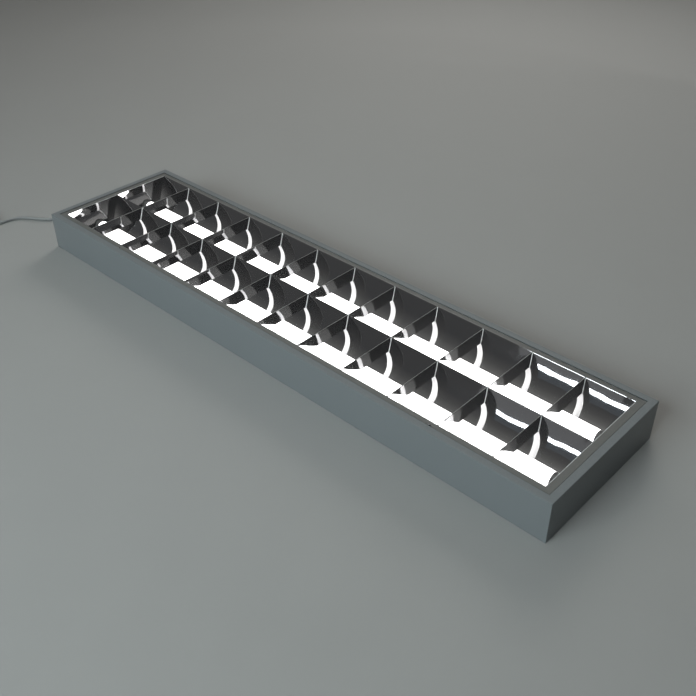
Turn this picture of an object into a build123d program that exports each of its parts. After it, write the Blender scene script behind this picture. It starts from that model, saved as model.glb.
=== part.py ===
"""Ceiling luminaire with a parabolic mirror louvre and two straight tubes.

The light side faces up, as the object lies on a table. Millimetres, +Z up,
+X along the tubes towards the plain end, +Y towards the louvre's hinge side.
The origin is at the middle of the back, on the surface that the object lies on.
"""

from build123d import *
import math
import os

# ---------------------------------------------------------------- driving sizes
# tubes: 26 mm two-pin tubes, 1.2 m size
TUBE_LENGTH = 1199.4          # face to face, without the pins
TUBE_RADIUS = 13.0
TUBE_WALL = 1.0
TUBE_AXIS_HEIGHT = 30.0       # above the surface that the back lies on
CAP_LENGTH = 31.0
CAP_SPIGOT = 8.0
PIN_SPACING = 12.7
PIN_RADIUS = 1.2
PIN_LENGTH = 7.0
LED_BOARD_DROP = 6.0          # board below the tube's axis
LED_BOARD_SHEET = 1.6

# lampholders
FACE_GAP = 0.6                # tube face to lampholder face
HOLDER_DEPTH = 13.0
HOLDER_HALF_WIDTH = 12.5
HOLDER_AXIS_RISE = 23.5       # tube axis above the lamp tray
HOLDER_BASE_HEIGHT = 3.0
HOLDER_BASE_SPREAD = 1.8
HOLDER_FOOT_WIDTH = 16.0
HOLDER_FOOT_SHEET = 4.0
HOLDER_FOOT_DEPTH = 3.0
HOLDER_END_SPACE = 3.4        # lampholder back to end plate
ROTOR_RADIUS = 8.5
ROTOR_DEPTH = 8.0
ROTOR_SLOT_DEPTH = 6.8
ROTOR_PLAY = 0.08             # radial and axial running clearance
PIN_SLOT_WIDTH = 3.0

# louvre
TROUGH_WIDTH = 126.0          # spine edge to side edge
LOUVRE_RISE = 47.0            # louvre top above the tube axis
LOUVRE_SHEET = 0.5
TROUGH_ARC_PAIRS = 2          # pairs of arcs in each reflector's curve
REFLECTOR_SIDE_GAP = 12.0     # tube surface to the reflector's lower edge, sideways
HEM_WIDTH = 5.5
SIDE_FLANGE = 10.2
END_FLANGE = 12.7
SKIRT_HEIGHT = 10.0
BLADE_COUNT = 11
END_CELL_SHARE = 0.886        # an end cell's length over a middle cell's
BLADE_DEPTH = 22.0
BLADE_SPREAD = 11.2           # width of the open side of the V
BLADE_SHEET = 0.4
END_SWEEP = 20.0              # how far the end reflector curves inwards
SEAT_GAP = 0.1                # between louvre sheets that seat on each other
NOTCH_LENGTH = 8.0            # finger notches in the near flange
NOTCH_DEPTH = 2.7
NOTCH_FROM_END = 225.5        # middle of a notch to the housing's end

# housing
HOUSING_SHEET = 0.8
BEND_RADIUS = 1.2
LIP_WIDTH = 12.8
LIP_STEP = 1.0                # lip above the louvre
LOUVRE_GAP = 1.0              # dark line between lip and louvre
END_TAB = 12.0
FIXING_FROM_END = 167.5       # slots for fixing screws, from the housing's end
FIXING_FROM_TRAY_EDGE = 18.0
FIXING_SLOT_WIDTH = 6.5
FIXING_SLOT_LENGTH = 16.0
KNOCKOUT_RADIUS = 10.0
KNOCKOUT_SPACING = 300.0
KNOCKOUT_GROOVE = 0.8
KNOCKOUT_DEPTH = 0.4
ACCESS_RADIUS = 9.0           # holes in the tray above the fixing slots

# lamp tray and its screws
TRAY_SHEET = 0.6
TRAY_HALF_WIDTH = 118.0
BOSS_RADIUS = 4.0
BOSS_FROM_END = 77.5
BOSS_FROM_TRAY_EDGE = 16.0
SCREW_RADIUS = 2.0
SCREW_HEAD_RADIUS = 3.9
SCREW_HEAD_HEIGHT = 2.4
SCREW_PLAY = 0.15

# hinges and catches
HINGE_FROM_END = 197.5
HINGE_INSET = 5.2             # pin axis inside the louvre's outer face
HINGE_DROP = 5.0              # pin axis below the louvre's top
HINGE_PIN_RADIUS = 1.5
HINGE_PLAY = 0.05
HINGE_SHEET = 1.2
HINGE_CLIP_SHEET = 1.0
HINGE_EYE_WIDTH = 10.0
HINGE_PIN_LENGTH = 25.0
HINGE_SIDE_PLAY = 0.3
HINGE_WINDOW = 27.0           # gap in the skirt round the hinge
HINGE_LEG_DROP = 10.0
HINGE_FOOT_HEIGHT = 16.0
SWING_CLEARANCE = 1.5         # round a tube, while the louvre swings
CATCH_FROM_END = 197.5
CATCH_WIDTH = 12.0
CATCH_SHEET = 0.5
CATCH_GAP = 0.3
CATCH_FOOT_HEIGHT = 16.0
CATCH_RISE = 13.0
REST_WIDTH = 10.0             # ledge under the louvre's near skirt, beside each spring
REST_REACH = 3.2              # ledge past the skirt's outer face
REST_GAP = 0.3

# wiring
BLOCK_FROM_END = 77.5
BLOCK_LENGTH = 18.0
BLOCK_PITCH = 10.0
BLOCK_HEIGHT = 15.0
BLOCK_BASE = 5.0
WIRE_RADIUS = 1.1
WIRE_BEND = 4.0
EARTH_SCREW_FROM_END = 117.5
CLAMP_FROM_END = 23.5
CLAMP_LENGTH = 12.0
CLAMP_HALF_WIDTH = 14.0

# mains cord
CORD_RADIUS = 3.5
CORD_HEIGHT = 15.0            # exit above the surface
CORD_SHEATH_INSIDE = 39.5     # sheathed cord's length inside the housing
CORD_REST = 0.1               # under a cord that lies on the surface
BOOT_LENGTH = 28.0
BOOT_ROOT_RADIUS = 8.0
BOOT_TIP_RADIUS = 4.8
BOOT_NECK_RADIUS = 6.5
BOOT_FLANGE = 2.0
COIL_RADIUS = 42.5            # of the first turn
COIL_PITCH = 7.6
COIL_TURNS_IN = 2.25
COIL_TURNS_OUT = 2.75
COIL_ARCS_PER_TURN = 4
PLUG_RADIUS = 18.5
PLUG_BODY_LENGTH = 30.0
PLUG_SHOULDER = 9.0
PLUG_BOOT_LENGTH = 16.0
PLUG_BOOT_RADIUS = 5.4
PLUG_PIN_RADIUS = 2.4
PLUG_PIN_LENGTH = 19.0
PLUG_PIN_SPACING = 19.0
PLUG_PIN_ROOT = 6.0           # inside the plug's body
PLUG_ROOT_RADIUS = 2.0
PLUG_CLIP_SHEET = 1.0
PLUG_CLIP_WIDTH = 6.0
PLUG_CLIP_LENGTH = 24.0

# ---------------------------------------------------------------- worked-out places
HOLDER_FACE = TUBE_LENGTH / 2 + FACE_GAP
HALF_LENGTH = HOLDER_FACE + HOLDER_DEPTH + HOLDER_END_SPACE + HOUSING_SHEET
LOUVRE_HALF_Y = TROUGH_WIDTH + SIDE_FLANGE
LOUVRE_HALF_X = HALF_LENGTH - LIP_WIDTH - LOUVRE_GAP
OPENING_HALF_X = LOUVRE_HALF_X - END_FLANGE
HALF_WIDTH = LOUVRE_HALF_Y + LOUVRE_GAP + LIP_WIDTH
TUBE_Y = TROUGH_WIDTH / 2
LOUVRE_TOP = TUBE_AXIS_HEIGHT + LOUVRE_RISE
HOUSING_TOP = LOUVRE_TOP + LIP_STEP
TRAY_TOP = TUBE_AXIS_HEIGHT - HOLDER_AXIS_RISE
LIP_EDGE_X = HALF_LENGTH - LIP_WIDTH
LIP_EDGE_Y = HALF_WIDTH - LIP_WIDTH
WALL_INSIDE = HALF_WIDTH - HOUSING_SHEET
END_INSIDE = HALF_LENGTH - HOUSING_SHEET
HINGE_Y = LOUVRE_HALF_Y - HINGE_INSET
HINGE_Z = LOUVRE_TOP - HINGE_DROP
BLADE_FOOT = LOUVRE_TOP - BLADE_DEPTH
CELL_PITCH = 2 * OPENING_HALF_X / (BLADE_COUNT - 1 + 2 * END_CELL_SHARE)
BLADE_X = [(i - (BLADE_COUNT - 1) / 2) * CELL_PITCH for i in range(BLADE_COUNT)]
CORD_LIE = CORD_RADIUS + CORD_REST
BLOCK_X = BLOCK_FROM_END - HALF_LENGTH
EARTH_SCREW_X = EARTH_SCREW_FROM_END - HALF_LENGTH
CLAMP_X = CLAMP_FROM_END - HALF_LENGTH
CORD_SHEATH_END = CORD_SHEATH_INSIDE - HALF_LENGTH
FIXING_X, FIXING_Y = HALF_LENGTH - FIXING_FROM_END, TRAY_HALF_WIDTH - FIXING_FROM_TRAY_EDGE
BOSS_X, BOSS_Y = HALF_LENGTH - BOSS_FROM_END, TRAY_HALF_WIDTH - BOSS_FROM_TRAY_EDGE
HINGE_X = HALF_LENGTH - HINGE_FROM_END
CATCH_X = HALF_LENGTH - CATCH_FROM_END
NOTCH_X = HALF_LENGTH - NOTCH_FROM_END

# The trough is a parabola with its focus on the tube's axis.
FOCAL = (math.hypot(LOUVRE_RISE, TROUGH_WIDTH / 2) - LOUVRE_RISE) / 2
TROUGH_FLOOR = TUBE_AXIS_HEIGHT - FOCAL
LOWER_EDGE = TUBE_RADIUS + REFLECTOR_SIDE_GAP
REFLECTOR_FOOT = TROUGH_FLOOR + LOWER_EDGE ** 2 / (4 * FOCAL)

# Free stretch of the cord, chosen by hand from its picture: distance past the end plate,
# y and height, on the surface that the object lies on.
LEAD_PLACES = [
    (0, 0, CORD_HEIGHT),
    (55.5, 0, CORD_HEIGHT),
    (86.5, -50, 4.6),
    (115.5, -101, CORD_LIE),
    (152.5, -122, CORD_LIE),
    (179.5, -144, CORD_LIE),
    (183.5, -180, CORD_LIE),
    (183.5, -218, CORD_LIE),
]
LEAD_ROUTE = [(-HALF_LENGTH - past, y, z) for past, y, z in LEAD_PLACES]
COIL_START = (LEAD_ROUTE[-1][0], LEAD_ROUTE[-1][1] - 2 * CORD_RADIUS)
TAIL_RUNS = [(0, -24, 0), (3, -27, 7.0), (3, -24, 0)]


# ---------------------------------------------------------------- small helpers
def block(x_range, y_range, z_range):
    """A box from its three ranges."""
    size = [high - low for low, high in (x_range, y_range, z_range)]
    middle = [(high + low) / 2 for low, high in (x_range, y_range, z_range)]
    return Pos(*middle) * Box(*size)


def along_x(face, half_length):
    """Extrude a face drawn in Y and Z to both sides of the middle plane."""
    return extrude(Plane.YZ * face, half_length, both=True)


def rectangle(low, high):
    """A 2-D rectangle from two opposite corners."""
    middle = Pos((low[0] + high[0]) / 2, (low[1] + high[1]) / 2)
    return middle * Rectangle(high[0] - low[0], high[1] - low[1])


def rod(start, end, radius):
    """A round bar between two points."""
    axis = Vector(*end) - Vector(*start)
    return extrude(Plane(origin=start, z_dir=axis) * Circle(radius), axis.length)


def mirrored(shape):
    """The shape and its mirror image across the middle plane Y = 0."""
    return shape, mirror(shape, Plane.XZ)


def bend_radii(points, share=0.45):
    """Arc radius at each corner, from its shorter run and its turn."""
    nodes = [Vector(*point) for point in points]
    radii = []
    for before, corner, after in zip(nodes, nodes[1:], nodes[2:]):
        turn = math.radians((corner - before).get_angle(after - corner))
        run = min((corner - before).length, (after - corner).length)
        radii.append(share * run / math.tan(turn / 2))
    return radii


def tube_along(path, radius):
    """A round solid swept along a wire."""
    start = path @ 0
    return sweep(Plane(origin=start, z_dir=path % 0) * Circle(radius), path=path)


def wire_run(points):
    """An insulated wire with the same small bend at each corner."""
    return tube_along(FilletPolyline(*points, radius=WIRE_BEND), WIRE_RADIUS)


# ---------------------------------------------------------------- louvre profiles
def trough_curve(side_start, side_end):
    """Tangent arcs along the parabola, between two distances from the tube's axis."""
    def place(distance):
        return Vector(TUBE_Y + distance, TROUGH_FLOOR + distance ** 2 / (4 * FOCAL))

    def direction(distance):
        return Vector(1, distance / (2 * FOCAL)).normalized()
    step = (side_end - side_start) / TROUGH_ARC_PAIRS
    arcs = []
    for i in range(TROUGH_ARC_PAIRS):
        low, high = side_start + i * step, side_start + (i + 1) * step
        arcs += biarc(place(low), direction(low), place(high), direction(high))
    return arcs


def beside(arcs, distance):
    """The same arcs at a constant distance to their left, in the XY plane."""
    moved = []
    for arc in arcs:
        places = []
        for share in (0, 0.5, 1):
            way = arc % share
            places.append(arc @ share + Vector(-way.Y, way.X) * distance)
        moved.append(ThreePointArc(*places))
    return moved


def between(arcs, others):
    """The face between two runs of arcs that go the same way."""
    ends = [Line(arcs[-1] @ 1, others[-1] @ 1), Line(others[0] @ 0, arcs[0] @ 0)]
    return make_face([*arcs, *others, *ends])


def hem_at(corner, direction):
    """Sheet turned back by the hem's width, from the lower corner of a strip."""
    side = sorted((corner.X, corner.X + direction * HEM_WIDTH))
    return rectangle((side[0], corner.Y), (side[1], corner.Y + LOUVRE_SHEET))


def trough_region(fit):
    """The open space of one trough, above its reflectors' lower edges."""
    half = TROUGH_WIDTH / 2
    right = beside(trough_curve(LOWER_EDGE, half), fit)
    left = beside(trough_curve(-half, -LOWER_EDGE), fit)
    floor, top = Line(left[-1] @ 1, right[0] @ 0), Line(right[-1] @ 1, left[0] @ 0)
    return make_face([*left, floor, *right, top])


def swing_path(tube_y):
    """What a tube sweeps through the louvre, seen from the swinging louvre."""
    arm = Vector(tube_y - HINGE_Y, TUBE_AXIS_HEIGHT - HINGE_Z)
    room = TUBE_RADIUS + SWING_CLEARANCE
    ring = Circle(arm.length + room) - Circle(arm.length - room)
    reach = arm.length + 2 * room
    angle = math.degrees(math.atan2(arm.Y, arm.X))
    below = Rot(0, 0, angle) * rectangle((0, 0), (reach, reach))
    path = ring & below
    path += Pos(arm.X, arm.Y) * Circle(room)
    return Pos(HINGE_Y, HINGE_Z) * path


def end_zone():
    """Plan outline of the end piece's flange: a trapezium with mitred ends."""
    return make_face(Polyline(
        (OPENING_HALF_X, -TROUGH_WIDTH),
        (LOUVRE_HALF_X, -LOUVRE_HALF_Y),
        (LOUVRE_HALF_X, LOUVRE_HALF_Y),
        (OPENING_HALF_X, TROUGH_WIDTH),
        close=True,
    ))


def louvre_side():
    """Far side reflector: skirt, flange, parabola and hem, folded from one sheet."""
    curve = trough_curve(LOWER_EDGE, TROUGH_WIDTH / 2)
    back = beside(curve, -LOUVRE_SHEET)
    profile = between(curve, back) + hem_at(back[0] @ 0, 1)
    profile += rectangle(
        (TROUGH_WIDTH, LOUVRE_TOP - LOUVRE_SHEET), (LOUVRE_HALF_Y, LOUVRE_TOP))
    profile += rectangle(
        (LOUVRE_HALF_Y - LOUVRE_SHEET, LOUVRE_TOP - SKIRT_HEIGHT), (LOUVRE_HALF_Y, LOUVRE_TOP))
    side = along_x(profile, LOUVRE_HALF_X)
    reach = LOUVRE_HALF_X + 1
    cut = make_face(Polyline(
        (OPENING_HALF_X, 0), (OPENING_HALF_X, TROUGH_WIDTH),
        (LOUVRE_HALF_X, LOUVRE_HALF_Y), (reach, LOUVRE_HALF_Y), (reach, 0), close=True))
    cut = Pos(-SEAT_GAP, 0, 0) * extrude(cut, 2 * LOUVRE_TOP)
    return side - cut - mirror(cut, Plane.YZ)


def far_side_with_windows():
    """Far side reflector with a window in its skirt round each hinge."""
    side = louvre_side()
    top = LOUVRE_TOP - LOUVRE_SHEET
    for x in (-HINGE_X, HINGE_X):
        side -= block(
            (x - HINGE_WINDOW / 2, x + HINGE_WINDOW / 2),
            (LOUVRE_HALF_Y - 2 * LOUVRE_SHEET, LOUVRE_HALF_Y + 1),
            (LOUVRE_TOP - SKIRT_HEIGHT - 1, top - LOUVRE_SHEET))
    return side


def near_side_with_notches():
    """Near side reflector with two finger notches in its flange and skirt."""
    side = mirror(louvre_side(), Plane.XZ)
    for x in (-NOTCH_X, NOTCH_X):
        side -= block(
            (x - NOTCH_LENGTH / 2, x + NOTCH_LENGTH / 2),
            (-LOUVRE_HALF_Y - 1, -LOUVRE_HALF_Y + NOTCH_DEPTH),
            (LOUVRE_TOP - SKIRT_HEIGHT / 2, LOUVRE_TOP + 1))
    return side


def louvre_spine():
    """Central reflector: two parabolas that meet in a sharp top fold, with hems below."""
    curve = trough_curve(-TROUGH_WIDTH / 2, -LOWER_EDGE)
    back = beside(curve, -LOUVRE_SHEET)
    wing = between(curve, back) + hem_at(back[-1] @ 1, -1)
    wing = wing & rectangle((0, 0), (TROUGH_WIDTH, LOUVRE_TOP))
    return along_x(wing + mirror(wing, Plane.YZ), OPENING_HALF_X - SEAT_GAP)


def louvre_end():
    """Right end piece: flange and skirt, and a curved mirror in each trough."""
    flange = extrude(end_zone(), LOUVRE_TOP)
    outer = flange & block(
        (OPENING_HALF_X, LOUVRE_HALF_X), (-LOUVRE_HALF_Y, LOUVRE_HALF_Y),
        (LOUVRE_TOP - SKIRT_HEIGHT, LOUVRE_TOP))
    outer -= block(
        (0, LOUVRE_HALF_X - LOUVRE_SHEET), (-LOUVRE_HALF_Y, LOUVRE_HALF_Y),
        (0, LOUVRE_TOP - LOUVRE_SHEET))
    drop = LOUVRE_TOP - REFLECTOR_FOOT
    front = Bezier(
        (OPENING_HALF_X, LOUVRE_TOP),
        (OPENING_HALF_X, LOUVRE_TOP - drop / 2),
        (OPENING_HALF_X - END_SWEEP, REFLECTOR_FOOT))
    back = Pos(LOUVRE_SHEET, 0) * front
    strip = make_face([front, Line(front @ 1, back @ 1), back, Line(back @ 0, front @ 0)])
    curved = extrude(Plane.XZ * strip, TROUGH_WIDTH, both=True)
    troughs = Plane.YZ * trough_region(SEAT_GAP)
    inside = extrude(troughs, LOUVRE_HALF_X)
    curved = curved & (inside + mirror(inside, Plane.XZ))
    for tube_y in (-TUBE_Y, TUBE_Y):
        curved -= extrude(Plane.YZ * swing_path(tube_y), LOUVRE_HALF_X)
    return outer + curved


def cross_blade(x):
    """One V-section blade in each trough, its sharp edge up."""
    half = BLADE_SPREAD / 2
    slope = math.hypot(half, BLADE_DEPTH)
    wall_x = BLADE_SHEET * slope / BLADE_DEPTH
    wall_z = BLADE_SHEET * slope / half
    section = make_face(Polyline(
        (-half, BLADE_FOOT), (0, LOUVRE_TOP), (half, BLADE_FOOT),
        (half - wall_x, BLADE_FOOT), (0, LOUVRE_TOP - wall_z), (-half + wall_x, BLADE_FOOT),
        close=True))
    bar = extrude(Plane.XZ * section, -TROUGH_WIDTH)
    room = along_x(trough_region(SEAT_GAP), BLADE_SPREAD)
    blade = Pos(x, 0, 0) * (bar & room)
    return Compound(children=[*mirrored(blade)])


# ---------------------------------------------------------------- housing
def fixing_places():
    return [(x, y) for x in (-FIXING_X, FIXING_X) for y in (-FIXING_Y, FIXING_Y)]


def housing_channel():
    """Back, two long walls and two lips, folded from one sheet."""
    height = HOUSING_TOP
    outer = Pos(0, height / 2) * Rectangle(2 * HALF_WIDTH, height)
    outer = fillet(outer.vertices(), BEND_RADIUS)
    inner = Pos(0, height / 2) * Rectangle(
        2 * WALL_INSIDE, height - 2 * HOUSING_SHEET)
    inner = fillet(inner.vertices(), BEND_RADIUS - HOUSING_SHEET)
    profile = outer - inner
    profile -= rectangle((-LIP_EDGE_Y, height / 2), (LIP_EDGE_Y, height + 1))
    channel = along_x(profile, END_INSIDE)
    for side in (-1, 1):
        mitre = make_face(Polyline(
            (LIP_EDGE_X - LIP_WIDTH, 0), (LIP_EDGE_X, side * LIP_EDGE_Y),
            (HALF_LENGTH, side * HALF_WIDTH), (HALF_LENGTH + LIP_WIDTH, 0), close=True))
        cut = Pos(-SEAT_GAP, 0, height - HOUSING_SHEET) * extrude(mitre, LIP_WIDTH)
        channel -= cut
        channel -= mirror(cut, Plane.YZ)
    slot = SlotOverall(FIXING_SLOT_LENGTH, FIXING_SLOT_WIDTH)
    for x, y in fixing_places():
        channel -= Pos(x, y, -1) * extrude(slot, HOUSING_SHEET + 2)
    groove = Circle(KNOCKOUT_RADIUS) - Circle(KNOCKOUT_RADIUS - KNOCKOUT_GROOVE)
    for x in (-KNOCKOUT_SPACING / 2, KNOCKOUT_SPACING / 2):
        channel -= Pos(x, 0, 0) * extrude(groove, KNOCKOUT_DEPTH)
    return channel


def end_plate():
    """Right end plate: face, mitred lip, and tabs that lie inside the channel."""
    face = Pos(0, HOUSING_TOP / 2) * Rectangle(2 * HALF_WIDTH, HOUSING_TOP)
    face = fillet(face.vertices(), BEND_RADIUS)
    plate = extrude(Plane.YZ.offset(END_INSIDE) * face, HOUSING_SHEET)
    lip = make_face(Polyline(
        (LIP_EDGE_X, -LIP_EDGE_Y), (HALF_LENGTH, -HALF_WIDTH),
        (HALF_LENGTH, HALF_WIDTH), (LIP_EDGE_X, LIP_EDGE_Y), close=True))
    lip = extrude(lip, HOUSING_TOP) & block(
        (LIP_EDGE_X, END_INSIDE), (-HALF_WIDTH, HALF_WIDTH),
        (HOUSING_TOP - HOUSING_SHEET, HOUSING_TOP))
    top_edge = [
        edge for edge in plate.edges().filter_by(Axis.Y)
        if edge.center().Z > HOUSING_SHEET and edge.center().X > HALF_LENGTH - HOUSING_SHEET / 2
    ]
    plate = fillet(top_edge, HOUSING_SHEET * 0.9) + lip
    tab_x = (END_INSIDE - END_TAB, END_INSIDE)
    tab_low = HOUSING_SHEET + BEND_RADIUS
    tab_high = HOUSING_TOP - HOUSING_SHEET - BEND_RADIUS
    for side in (-1, 1):
        tab_y = sorted((side * WALL_INSIDE, side * (WALL_INSIDE - HOUSING_SHEET)))
        plate += block(tab_x, tab_y, (tab_low, tab_high))
    tab_half = WALL_INSIDE - 2 * BEND_RADIUS
    plate += block(tab_x, (-tab_half, tab_half), (HOUSING_SHEET, 2 * HOUSING_SHEET))
    return plate


def end_plate_with_entry():
    """Left end plate, with the hole for the cord's boot."""
    hole = Pos(-HALF_LENGTH, 0, CORD_HEIGHT) * Rot(0, 90, 0) * Cylinder(
        BOOT_NECK_RADIUS, 4 * HOUSING_SHEET)
    return mirror(end_plate(), Plane.YZ) - hole


def boss_places():
    return [(x, y) for x in (-BOSS_X, 0, BOSS_X) for y in (-BOSS_Y, BOSS_Y)]


def holder_places():
    """Lampholder name, end (-1 left, 1 right) and tube side (-1 near, 1 far)."""
    return [
        (f"{row}_{end}", end_sign, row_sign)
        for row, row_sign in (("near", -1), ("far", 1))
        for end, end_sign in (("left", -1), ("right", 1))
    ]


def lamp_tray():
    """Inner white tray that carries the lampholders, standing on its folded edges."""
    outer = rectangle((-TRAY_HALF_WIDTH, HOUSING_SHEET), (TRAY_HALF_WIDTH, TRAY_TOP))
    inner = rectangle(
        (-TRAY_HALF_WIDTH + TRAY_SHEET, 0), (TRAY_HALF_WIDTH - TRAY_SHEET, TRAY_TOP - TRAY_SHEET))
    tray = along_x(outer - inner, END_INSIDE - HOUSING_SHEET)
    for side in (-1, 1):
        ends = sorted((side * (END_INSIDE - END_TAB - HOUSING_SHEET), side * END_INSIDE))
        tray -= block(
            ends, (-TRAY_HALF_WIDTH - 1, TRAY_HALF_WIDTH + 1), (0, TRAY_TOP - TRAY_SHEET))
    for x, y in boss_places() + [(EARTH_SCREW_X, 0)]:
        tray -= Pos(x, y, TRAY_TOP) * Cylinder(SCREW_RADIUS + SCREW_PLAY, 4 * TRAY_SHEET)
    for x, y in fixing_places():
        tray -= Pos(x, y, TRAY_TOP) * Cylinder(ACCESS_RADIUS, 4 * TRAY_SHEET)
    for _, end, row in holder_places():
        middle = end * (HOLDER_FACE + HOLDER_DEPTH / 2)
        half = HOLDER_FOOT_WIDTH / 2 + SCREW_PLAY
        sheet = HOLDER_FOOT_SHEET / 2 + SCREW_PLAY
        tray -= block(
            (middle - sheet, middle + sheet), (row * TUBE_Y - half, row * TUBE_Y + half),
            (TRAY_TOP - 2 * TRAY_SHEET, TRAY_TOP + 1))
    return tray


def pan_screw(x, y, seat, length):
    """A pan-head screw whose head sits on a face at the given height."""
    shank = Pos(x, y, seat - length / 2) * Cylinder(SCREW_RADIUS, length)
    head = Pos(x, y, seat + SCREW_HEAD_HEIGHT / 2) * Cylinder(SCREW_HEAD_RADIUS, SCREW_HEAD_HEIGHT)
    top = head.edges().group_by(Axis.Z)[-1]
    head = fillet(top, SCREW_HEAD_HEIGHT * 0.6)
    head -= Pos(x, y, seat + SCREW_HEAD_HEIGHT) * (
        Box(SCREW_HEAD_RADIUS, 0.8, 2) + Box(0.8, SCREW_HEAD_RADIUS, 2))
    return shank + head


def tray_bosses():
    """Threaded bosses riveted to the back, under the tray."""
    height = TRAY_TOP - TRAY_SHEET - HOUSING_SHEET
    ring = Circle(BOSS_RADIUS) - Circle(SCREW_RADIUS + SCREW_PLAY)
    bosses = [Pos(x, y, HOUSING_SHEET) * extrude(ring, height) for x, y in boss_places()]
    return Compound(children=bosses)


def tray_screws():
    length = TRAY_TOP - HOUSING_SHEET - 0.5
    return Compound(children=[pan_screw(x, y, TRAY_TOP, length) for x, y in boss_places()])


# ---------------------------------------------------------------- lampholders and tubes
def lampholder(end, row):
    """Fixed body of a lampholder: rounded upright with a rotor recess and a pin channel."""
    y = row * TUBE_Y
    face = HOLDER_FACE
    upright = Pos(0, TUBE_AXIS_HEIGHT) * Circle(HOLDER_HALF_WIDTH)
    upright += rectangle((-HOLDER_HALF_WIDTH, TRAY_TOP), (HOLDER_HALF_WIDTH, TUBE_AXIS_HEIGHT))
    body = extrude(Plane.YZ.offset(face) * upright, HOLDER_DEPTH)
    spread = HOLDER_HALF_WIDTH + HOLDER_BASE_SPREAD
    body += block(
        (face, face + HOLDER_DEPTH), (-spread, spread), (TRAY_TOP, TRAY_TOP + HOLDER_BASE_HEIGHT))
    recess_depth = ROTOR_DEPTH + 2 * ROTOR_PLAY
    body -= Pos(face + recess_depth / 2 - 1, 0, TUBE_AXIS_HEIGHT) * Rot(0, 90, 0) * Cylinder(
        ROTOR_RADIUS + ROTOR_PLAY, recess_depth + 2)
    body -= block(
        (face - 1, face + ROTOR_SLOT_DEPTH + ROTOR_PLAY), (-PIN_SLOT_WIDTH / 2, PIN_SLOT_WIDTH / 2),
        (TUBE_AXIS_HEIGHT, TUBE_AXIS_HEIGHT + 2 * HOLDER_HALF_WIDTH))
    middle = face + HOLDER_DEPTH / 2
    body += block(
        (middle - HOLDER_FOOT_SHEET / 2, middle + HOLDER_FOOT_SHEET / 2),
        (-HOLDER_FOOT_WIDTH / 2, HOLDER_FOOT_WIDTH / 2),
        (TRAY_TOP - HOLDER_FOOT_DEPTH, TRAY_TOP))
    for z in wire_heights():
        body -= Pos(middle, -HOLDER_HALF_WIDTH, z) * Rot(90, 0, 0) * Cylinder(
            WIRE_RADIUS + SCREW_PLAY, 10)
    body = body if row > 0 else mirror(body, Plane.XZ)
    body = Pos(0, y, 0) * body
    return body if end > 0 else mirror(body, Plane.YZ)


def wire_heights():
    """Heights at which the live and the neutral wire enter a lampholder's side."""
    low = TRAY_TOP + HOLDER_BASE_HEIGHT + 2 * WIRE_RADIUS
    return (low, low + 4 * WIRE_RADIUS)


def rotor(end, row):
    """Turning disc of a lampholder, with the slot that carries the pins."""
    start = HOLDER_FACE + ROTOR_PLAY
    disc = Pos(start + ROTOR_DEPTH / 2, 0, 0) * Rot(0, 90, 0) * Cylinder(ROTOR_RADIUS, ROTOR_DEPTH)
    disc -= block(
        (start - 1, start + ROTOR_SLOT_DEPTH), (-2 * ROTOR_RADIUS, 2 * ROTOR_RADIUS),
        (-PIN_SLOT_WIDTH / 2, PIN_SLOT_WIDTH / 2))
    disc = Pos(0, row * TUBE_Y, TUBE_AXIS_HEIGHT) * disc
    return disc if end > 0 else mirror(disc, Plane.YZ)


def tube_sleeve(row):
    """Light-giving sleeve between the two caps."""
    ring = Circle(TUBE_RADIUS) - Circle(TUBE_RADIUS - TUBE_WALL)
    return Pos(0, row * TUBE_Y, TUBE_AXIS_HEIGHT) * along_x(ring, TUBE_LENGTH / 2 - CAP_LENGTH)


def tube_cap(end, row):
    """Cap with a spigot inside the sleeve and a closed outer face."""
    face = TUBE_LENGTH / 2
    cap = Pos(face - CAP_LENGTH / 2, 0, 0) * Rot(0, 90, 0) * Cylinder(TUBE_RADIUS, CAP_LENGTH)
    rim = cap.edges().group_by(Axis.X)[-1]
    cap = fillet(rim, TUBE_WALL)
    spigot_radius = TUBE_RADIUS - TUBE_WALL - SEAT_GAP
    spigot_end = face - CAP_LENGTH - CAP_SPIGOT
    spigot = Pos(spigot_end + CAP_SPIGOT / 2, 0, 0) * Rot(0, 90, 0) * Cylinder(
        spigot_radius, CAP_SPIGOT)
    bore = Pos(spigot_end + (CAP_SPIGOT + CAP_LENGTH - 3 * TUBE_WALL) / 2, 0, 0) * Rot(
        0, 90, 0) * Cylinder(spigot_radius - TUBE_WALL, CAP_SPIGOT + CAP_LENGTH - 3 * TUBE_WALL)
    cap = cap + spigot - bore
    cap = Pos(0, row * TUBE_Y, TUBE_AXIS_HEIGHT) * cap
    return cap if end > 0 else mirror(cap, Plane.YZ)


def tube_pins(row):
    """Two brass pins at each end, level at rest."""
    face = TUBE_LENGTH / 2
    root = 2 * TUBE_WALL
    pin = Pos(face + (PIN_LENGTH - root) / 2, 0, 0) * Rot(0, 90, 0) * Cylinder(
        PIN_RADIUS, PIN_LENGTH + root)
    pin = fillet(pin.edges().group_by(Axis.X)[-1], PIN_RADIUS * 0.5)
    pins = []
    for side in (-1, 1):
        placed = Pos(0, row * TUBE_Y + side * PIN_SPACING / 2, TUBE_AXIS_HEIGHT) * pin
        pins += [placed, mirror(placed, Plane.YZ)]
    return Compound(children=pins)


def capped(cap, row, end):
    """A cap with its pin holes."""
    for side in (-1, 1):
        cap -= Pos(end * TUBE_LENGTH / 2, row * TUBE_Y + side * PIN_SPACING / 2,
                   TUBE_AXIS_HEIGHT) * Rot(0, 90, 0) * Cylinder(PIN_RADIUS, 8 * TUBE_WALL)
    return cap


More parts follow.
